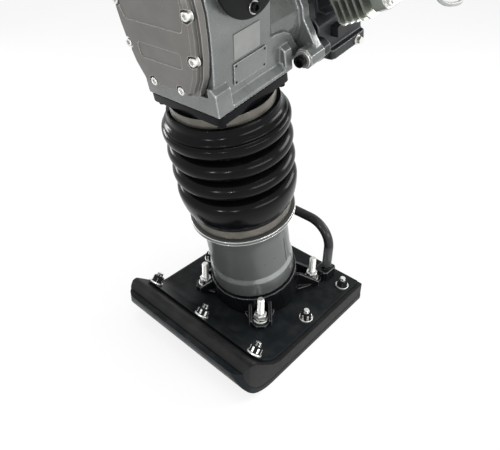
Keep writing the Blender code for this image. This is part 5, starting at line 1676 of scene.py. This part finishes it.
@dataclass
class Controls:
    """The throttle lever in its clamp, the ribbed grip and the transport roller."""

    side: float = 0.190
    lever_y: float = LEVER_Y
    lever_z: float = side_height(LEVER_Y)

    def clamp(self) -> None:
        """Makes the clamp with its two cheeks and its screw."""
        place = Matrix.Translation((self.side, self.lever_y, self.lever_z))
        form = Form(place)
        band = [
            (0.0139, -0.0126), (0.0143, -0.0130), (0.0192, -0.0130), (0.0197, -0.0124), (0.0197, 0.0124),
            (0.0192, 0.0130), (0.0143, 0.0130), (0.0139, 0.0126),
        ]
        form.turned(band, 72, True, at=OUT_FRONT)
        form.drawn(rounded(-0.0090, 0.0090, -0.0150, 0.0150, 0.003), 0.0172, 0.0238)
        cheek = [
            (-0.0150, 0.0230), (0.0150, 0.0230), *arc((0.0080, 0.0290), 0.0070, 0, 90, 6),
            *arc((-0.0080, 0.0290), 0.0070, 90, 180, 6),
        ]
        for low, high in ((-0.0090, -0.0024), (0.0024, 0.0090)):
            form.drawn(cheek, low, high, "X")
        form.piece("lever_clamp", BLACK_PLASTIC, "machine", 0.0006, 2, stands_for=["throttle_bracket"])
        low = place @ Matrix.Translation((0.0, 0.0, -0.0196)) @ Matrix.Rotation(math.pi, 4, "X")
        Fastener("clamp_screw", low, "machine", *CLAMP_SCREW, socket=True).build()

    def lever(self) -> None:
        """Makes the lever with its pin and thumb pad."""
        place = Matrix.Translation((self.side, self.lever_y, self.lever_z + 0.0310))
        form = Form(place)
        upper = [
            (0.0760, 0.0140), (0.0755, 0.0158), (0.0740, 0.0160), (0.0600, 0.0136), (0.0400, 0.0105),
            (0.0200, 0.0070), (0.0060, 0.0046),
        ]
        blade = [
            *arc((0.0, 0.0), 0.0045, 95, 265, 12), (0.0120, -0.0036), (0.0250, -0.0016), (0.0400, 0.0010),
            (0.0580, 0.0046), (0.0740, 0.0080), *upper,
        ]
        form.drawn(blade, -0.0020, 0.0020, "X")
        form.drawn(ring_outline(0.0020, 24), -0.0088, 0.0088, "X")
        form.piece("lever_blade", BLACK_PLASTIC, "throttle", 0.0004, 2, stands_for=["throttle_lever"])
        pad = Form(place)
        rows = []
        for z, inset in (
            (0.0085, 0.0012), (0.0091, 0.0003), (0.0100, 0.0), (0.0130, 0.0), (0.0140, 0.0004),
            (0.0145, 0.0016),
        ):
            x, low, high = 0.009 - inset, 0.050 + inset, 0.080 - inset
            rows.append([(u, v, z) for u, v in rounded(-x, x, low, high, 0.0044 - inset, 6)])
        pad.skin(rows)
        for i in range(6):
            y = 0.0560 + 0.0036 * i
            pad.drawn(rounded(-0.0062, 0.0062, y - 0.0006, y + 0.0006, 0.0005, 3), 0.0140, 0.0149)
        pad.piece("lever_thumb_pad", DULL_RUBBER, "throttle", sharp=50.0)

    def grip(self) -> None:
        """Makes the ribbed grip on the rear bar."""
        bore, rows = 0.0138, [
            (0.0182, -0.1100), (0.0188, -0.1092), (0.0190, -0.1078), (0.0188, -0.1056), (0.0176, -0.1020)
        ]
        ribs = 26
        for i in range(ribs):
            z = -0.0975 + 0.0075 * i
            rows += [
                (0.0169, z + 0.0002), (0.0174, z + 0.0012), (0.0175, z + 0.0038), (0.0174, z + 0.0062),
                (0.0169, z + 0.0072),
            ]
        rows += [(0.0176, 0.1020), (0.0188, 0.1056), (0.0190, 0.1078), (0.0188, 0.1092), (0.0182, 0.1100)]
        profile = [*rows, (bore, 0.1100), (bore, -0.1100)]
        form = Form(Matrix.Translation((0, 0.440, 0.940)) @ OUT_LEFT).turned(profile, 56, True)
        form.piece("grip_sleeve", DULL_RUBBER, "machine", sharp=50.0, stands_for=["hand_grip"])

    def roller(self) -> None:
        """Makes the transport roller with its grooves."""
        rows = [(0.0240, -0.0550), (0.0256, -0.0546), (0.0267, -0.0533), (0.0270, -0.0518)]
        for z in (-0.0390, -0.0195, 0.0, 0.0195, 0.0390):
            rows += [
                (0.0270, z - 0.0022), (0.0266, z - 0.0014), (0.0258, z - 0.0008), (0.0258, z + 0.0008),
                (0.0266, z + 0.0014), (0.0270, z + 0.0022),
            ]
        rows += [(0.0270, 0.0518), (0.0267, 0.0533), (0.0256, 0.0546), (0.0240, 0.0550)]
        profile = [*rows, (0.0160, 0.0546), (0.0140, 0.0540), (0.0140, -0.0540), (0.0160, -0.0546)]
        form = Form(Matrix.Translation((0, -0.190, 0.905)) @ OUT_LEFT).turned(profile, 72, True)
        form.piece("roller_sleeve", DULL_RUBBER, "roller", sharp=50.0, stands_for=["transport_roller"])

    def build(self) -> None:
        """Makes the controls."""
        self.clamp()
        self.lever()
        self.grip()
        self.roller()


@dataclass
class Cords:
    """The throttle cable and the fuel hose, along the routes of their solids."""

    cable: float = 0.003
    hose: float = 0.0035
    z: float = side_height(LEVER_Y)

    def cable_route(self) -> list[Point]:
        """The cable's points, from the lever's clamp to the carburettor."""
        made = [
            (0.190, 0.2845, self.z + 0.0207), (0.190, 0.2785, self.z + 0.0207),
            (0.191, 0.2660, self.z + 0.0205),
        ]
        made += [(0.206, 0.205, 0.942), (0.219, 0.145, 0.890), (0.221, 0.090, 0.800), (0.217, 0.056, 0.700)]
        made += [
            (0.207, 0.060, 0.615), (0.200, 0.104, 0.5660), (0.198, 0.160, 0.5490), (0.190, 0.208, 0.5530)
        ]
        made += [(0.158, 0.222, 0.6050), (0.112, 0.193, 0.6650)]
        ends = ((0.080, 0.2693, 0.6285), (0.078, 0.2553, 0.6290), (0.078, 0.2473, 0.6290))
        return made + [LEG @ Vector(q) for q in ends]

    def hose_route(self) -> list[Point]:
        """The hose's points, from the tank's spout to the carburettor."""
        made = [(0.070, 0.105, 0.8364), (0.070, 0.105, 0.8320), (0.0705, 0.105, 0.825), (0.082, 0.102, 0.806)]
        made += [(0.114, 0.094, 0.789), (0.140, 0.086, 0.764), (0.149, 0.081, 0.730), (0.141, 0.079, 0.702)]
        ends = ((0.1223, 0.2040, 0.6270), (0.1093, 0.2040, 0.6260), (0.1023, 0.2040, 0.6260))
        return made + [LEG @ Vector(q) for q in ends]

    def ferrule(self, name: str, path: Sequence[Vector], radius: float, finish: Finish) -> bpy.types.Object:
        """Makes the end fitting of a cord.

        Args:
            name: the fitting's name.
            path: the first points of the cord at that end.
            radius: the cord's radius.
            finish: the fitting's finish.

        Returns:
            The fitting.
        """
        run = (path[1] - path[0]).normalized()
        place = Matrix.Translation(path[0]) @ run.to_track_quat("Z", "Y").to_matrix().to_4x4()
        r = radius
        profile = [
            (r + 0.0001, 0.0), (r + 0.0014, 0.0002), (r + 0.0016, 0.0008), (r + 0.0016, 0.0032),
            (r + 0.0012, 0.0040), (r + 0.0001, 0.0044),
        ]
        return Form(place).turned(profile, 32, True).piece(name, finish, "machine")

    def build(self) -> None:
        jobs = (
            ("cable_sheath_run", "throttle_cable", self.cable_route(), self.cable, CABLE_GREY, MACHINED),
            ("fuel_hose_run", "fuel_hose", self.hose_route(), self.hose, DULL_RUBBER, ZINC),
        )
        for name, node, route, radius, finish, metal in jobs:
            path = smooth_path(route, radius * 2.2)
            run = Form().tube(path, radius, 20)
            made = run.piece(name, finish, "machine", sharp=60.0, stands_for=[node])
            ends = [self.ferrule(f"{name}_start", path[:2], radius, metal)]
            ends.append(self.ferrule(f"{name}_end", [path[-1], path[-2]], radius, metal))


@dataclass
class Handle:
    """The looped tube handle with its struts, cross bars and mount plates."""

    half: float = 0.190
    tube: float = 0.0135
    bars: tuple[float, float] = (-0.030, 0.170)
    bar: float = 0.0110
    bend: float = 0.060
    strut_x: float = 0.1260
    strut_y: float = -0.110

    def build(self) -> None:
        """Makes the handle's visible pieces."""
        x, (yf, zf), (yr, zr) = self.half, HANDLE_FRONT, HANDLE_REAR
        corners = [(0.0, yf, zf), (x, yf, zf), (x, yr, zr), (-x, yr, zr), (-x, yf, zf), (0.0, yf, zf)]
        form = Form().tube(bent_path(corners, self.bend, 12)[:-1], self.tube, 32, closed=True)
        for side in (-1, 1):
            start = LEG @ Vector((side * self.strut_x, 0.0, 0.650))
            knee = LEG @ Vector((side * self.strut_x, 0.0, 0.740))
            top = (side * x, self.strut_y, side_height(self.strut_y))
            form.tube(bent_path([start, knee, top], self.bend, 10), self.tube - 0.0015, 28)
            low, high = sorted((side * 0.1108, side * 0.1168))
            form.drawn(rounded(-0.017, 0.017, 0.640, 0.690, 0.006), low, high, "X", LEG)
        for y in self.bars:
            z = side_height(y)
            form.tube([Vector((-x, y, z)), Vector((x, y, z))], self.bar, 28)
        form.piece("handle_tubes", HANDLE_GREY, "machine", stands_for=["handle_frame"])
        for node in ("left_mount_plate", "right_mount_plate"):
            dressed(node, f"{node}_shell", BLACK_PAINT, edge=0.0008, steps=3)


@dataclass
class Studio:
    """Floor, lamps, world and camera."""

    eye: Vector = field(default_factory=lambda: Vector((0.47450, -0.54957, 0.69477)))
    azimuth: float = math.radians(41.638)
    fall: float = math.radians(30.018)
    roll: float = math.radians(-0.962)
    lens: float = 521.127 * 36.0 / 500.0
    rise: float = -0.100
    fill: float = 0.62
    glow: float = 0.80
    floor_reach: float = 9.0
    floor_drop: float = 0.0002
    aim: Point = (0.0, 0.0, 0.35)
    lamps: tuple[tuple[str, Point, tuple[float, float], float], ...] = (
        ("top_lamp", (0.2, -0.2, 2.2), (1.2, 1.0), 18.0),
        ("left_lamp", (-2.0, -0.45, 0.72), (0.55, 0.35), 12.0),
        ("right_lamp", (1.80, -0.10, 0.70), (1.4, 0.35), 14.0),
        ("rear_lamp", (1.00, 1.60, 1.10), (1.2, 0.7), 26.0),
        ("glint_a", (0.27, -1.73, 0.66), (0.09, 0.09), 5.2),
        ("glint_b", (0.93, -1.48, 0.66), (0.07, 0.07), 3.8),
    )

    def camera(self) -> None:
        """Places the camera where the photograph was taken from."""
        level = math.cos(self.fall)
        back = Vector((math.sin(self.azimuth) * level, -math.cos(self.azimuth) * level, math.sin(self.fall)))
        right = (-back).cross(Vector((0, 0, 1))).normalized()
        down = (-back).cross(right)
        x = right * math.cos(self.roll) + down * math.sin(self.roll)
        y = right * math.sin(self.roll) - down * math.cos(self.roll)
        data = bpy.data.cameras.new("view")
        data.sensor_width = 36.0
        data.lens = self.lens
        data.shift_y = self.rise
        data.clip_start = 0.01
        made = bpy.data.objects.new("view", data)
        turn = Matrix((x, y, back)).transposed().to_4x4()
        made.matrix_world = Matrix.Translation(self.eye) @ turn
        bpy.context.scene.collection.objects.link(made)
        bpy.context.scene.camera = made

    def white(self, tree: bpy.types.NodeTree) -> bpy.types.NodeSocket:
        """1 for the rays that show the background.

        Args:
            tree: the nodes that need it.

        Returns:
            The value.
        """
        rays = add_node(tree, "ShaderNodeLightPath").outputs
        glass = {0: rays["Is Glossy Ray"], 1: rays["Is Transmission Ray"]}
        either = add_node(tree, "ShaderNodeMath", glass, operation="MAXIMUM").outputs[0]
        shown = {0: rays["Is Camera Ray"], 1: either}
        return add_node(tree, "ShaderNodeMath", shown, operation="MAXIMUM").outputs[0]

    def surroundings(self) -> None:
        """Makes the white world and the pale floor."""
        world = bpy.data.worlds.new("studio")
        world.use_nodes = True
        bpy.context.scene.world = world
        tree = world.node_tree
        light = tree.nodes["Background"]
        light.inputs["Color"].default_value = (1.0, 1.0, 1.0, 1.0)
        level = add_node(tree, "ShaderNodeMapRange", {0: self.white(tree), 3: self.fill, 4: 1.0})
        tree.links.new(level.outputs[0], light.inputs["Strength"])
        mesh = bpy.data.meshes.new("floor")
        r = self.floor_reach
        mesh.from_pydata([(-r, -r, 0), (r, -r, 0), (r, r, 0), (-r, r, 0)], [], [(0, 1, 2, 3)])
        floor = bpy.data.objects.new("floor", mesh)
        floor.location.z = -self.floor_drop
        bpy.context.scene.collection.objects.link(floor)
        mesh.materials.append(self.paper())

    def paper(self) -> bpy.types.Material:
        """The floor's pale paper, which shows as nearly white.

        Returns:
            The material.
        """
        made = bpy.data.materials.new("paper")
        made.use_nodes = True
        tree = made.node_tree
        shader = tree.nodes["Principled BSDF"]
        shader.inputs["Base Color"].default_value = (0.90, 0.90, 0.90, 1.0)
        shader.inputs["Roughness"].default_value = 0.9
        shader.inputs["Specular IOR Level"].default_value = 0.1
        glow = add_node(tree, "ShaderNodeEmission", {"Strength": 1.0})
        share = add_node(tree, "ShaderNodeMath", {0: self.white(tree), 1: self.glow}, operation="MULTIPLY")
        parts = {0: share.outputs[0], 1: shader.outputs[0], 2: glow.outputs[0]}
        mix = add_node(tree, "ShaderNodeMixShader", parts)
        tree.links.new(mix.outputs[0], tree.nodes["Material Output"].inputs["Surface"])
        return made

    def lamp(self, name: str, place: Point, size: tuple[float, float], power: float) -> None:
        """Hangs a soft lamp that points at the middle of the part.

        Args:
            name: the lamp's name.
            place: where it hangs.
            size: its width and height.
            power: its power in watts.
        """
        data = bpy.data.lights.new(name, "AREA")
        data.shape = "RECTANGLE"
        data.size, data.size_y = size
        data.energy = power
        made = bpy.data.objects.new(name, data)
        made.location = place
        made.rotation_euler = (Vector(self.aim) - Vector(place)).to_track_quat("-Z", "Y").to_euler()
        bpy.context.scene.collection.objects.link(made)

    def build(self) -> None:
        """Sets the studio up."""
        bpy.context.scene.view_settings.view_transform = "Standard"
        self.camera()
        self.surroundings()
        for name, place, size, power in self.lamps:
            self.lamp(name, place, size, power)


@dataclass
class Carryover:
    """Nodes of the frame whose own shape stays, each with its finish."""

    finishes: dict[str, Finish] = field(
        default_factory=lambda: {
            "spring_seat": MACHINED,
            "guide_bush": BRONZE,
            "crank_gear": MACHINED,
            "gear_bearing": MACHINED,
            "pinion_bearing": MACHINED,
            "connecting_rod": MACHINED,
            "wrist_pin": MACHINED,
            "piston_rod": MACHINED,
            "piston": MACHINED,
            "pinion_shaft": MACHINED,
            "left_clutch_shoe": CAST_GREY,
            "right_clutch_shoe": CAST_GREY,
            "crankshaft": MACHINED,
        }
    )

    def build(self) -> None:
        """Gives each node its finish."""
        for node, finish in self.finishes.items():
            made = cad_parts[node]
            material = finish.material()
            for spot in made.material_slots:
                spot.material = material
            log.info("%s keeps its shape", node)


def main() -> None:
    """Builds everything in order."""
    logging.basicConfig(level=logging.INFO, format="%(name)s: %(message)s")
    Studio().build()
    Cords().build()
    Carryover().build()
    for part in (
        Shoe(), FootCasting(), SpringLeg(), Bellows(), Crankcase(), Engine(), Handle(), Mounts(), Tank(),
        Controls(),
    ):
        log.info("building %s", type(part).__name__)
        part.build()


if __name__ == "__main__":
    main()
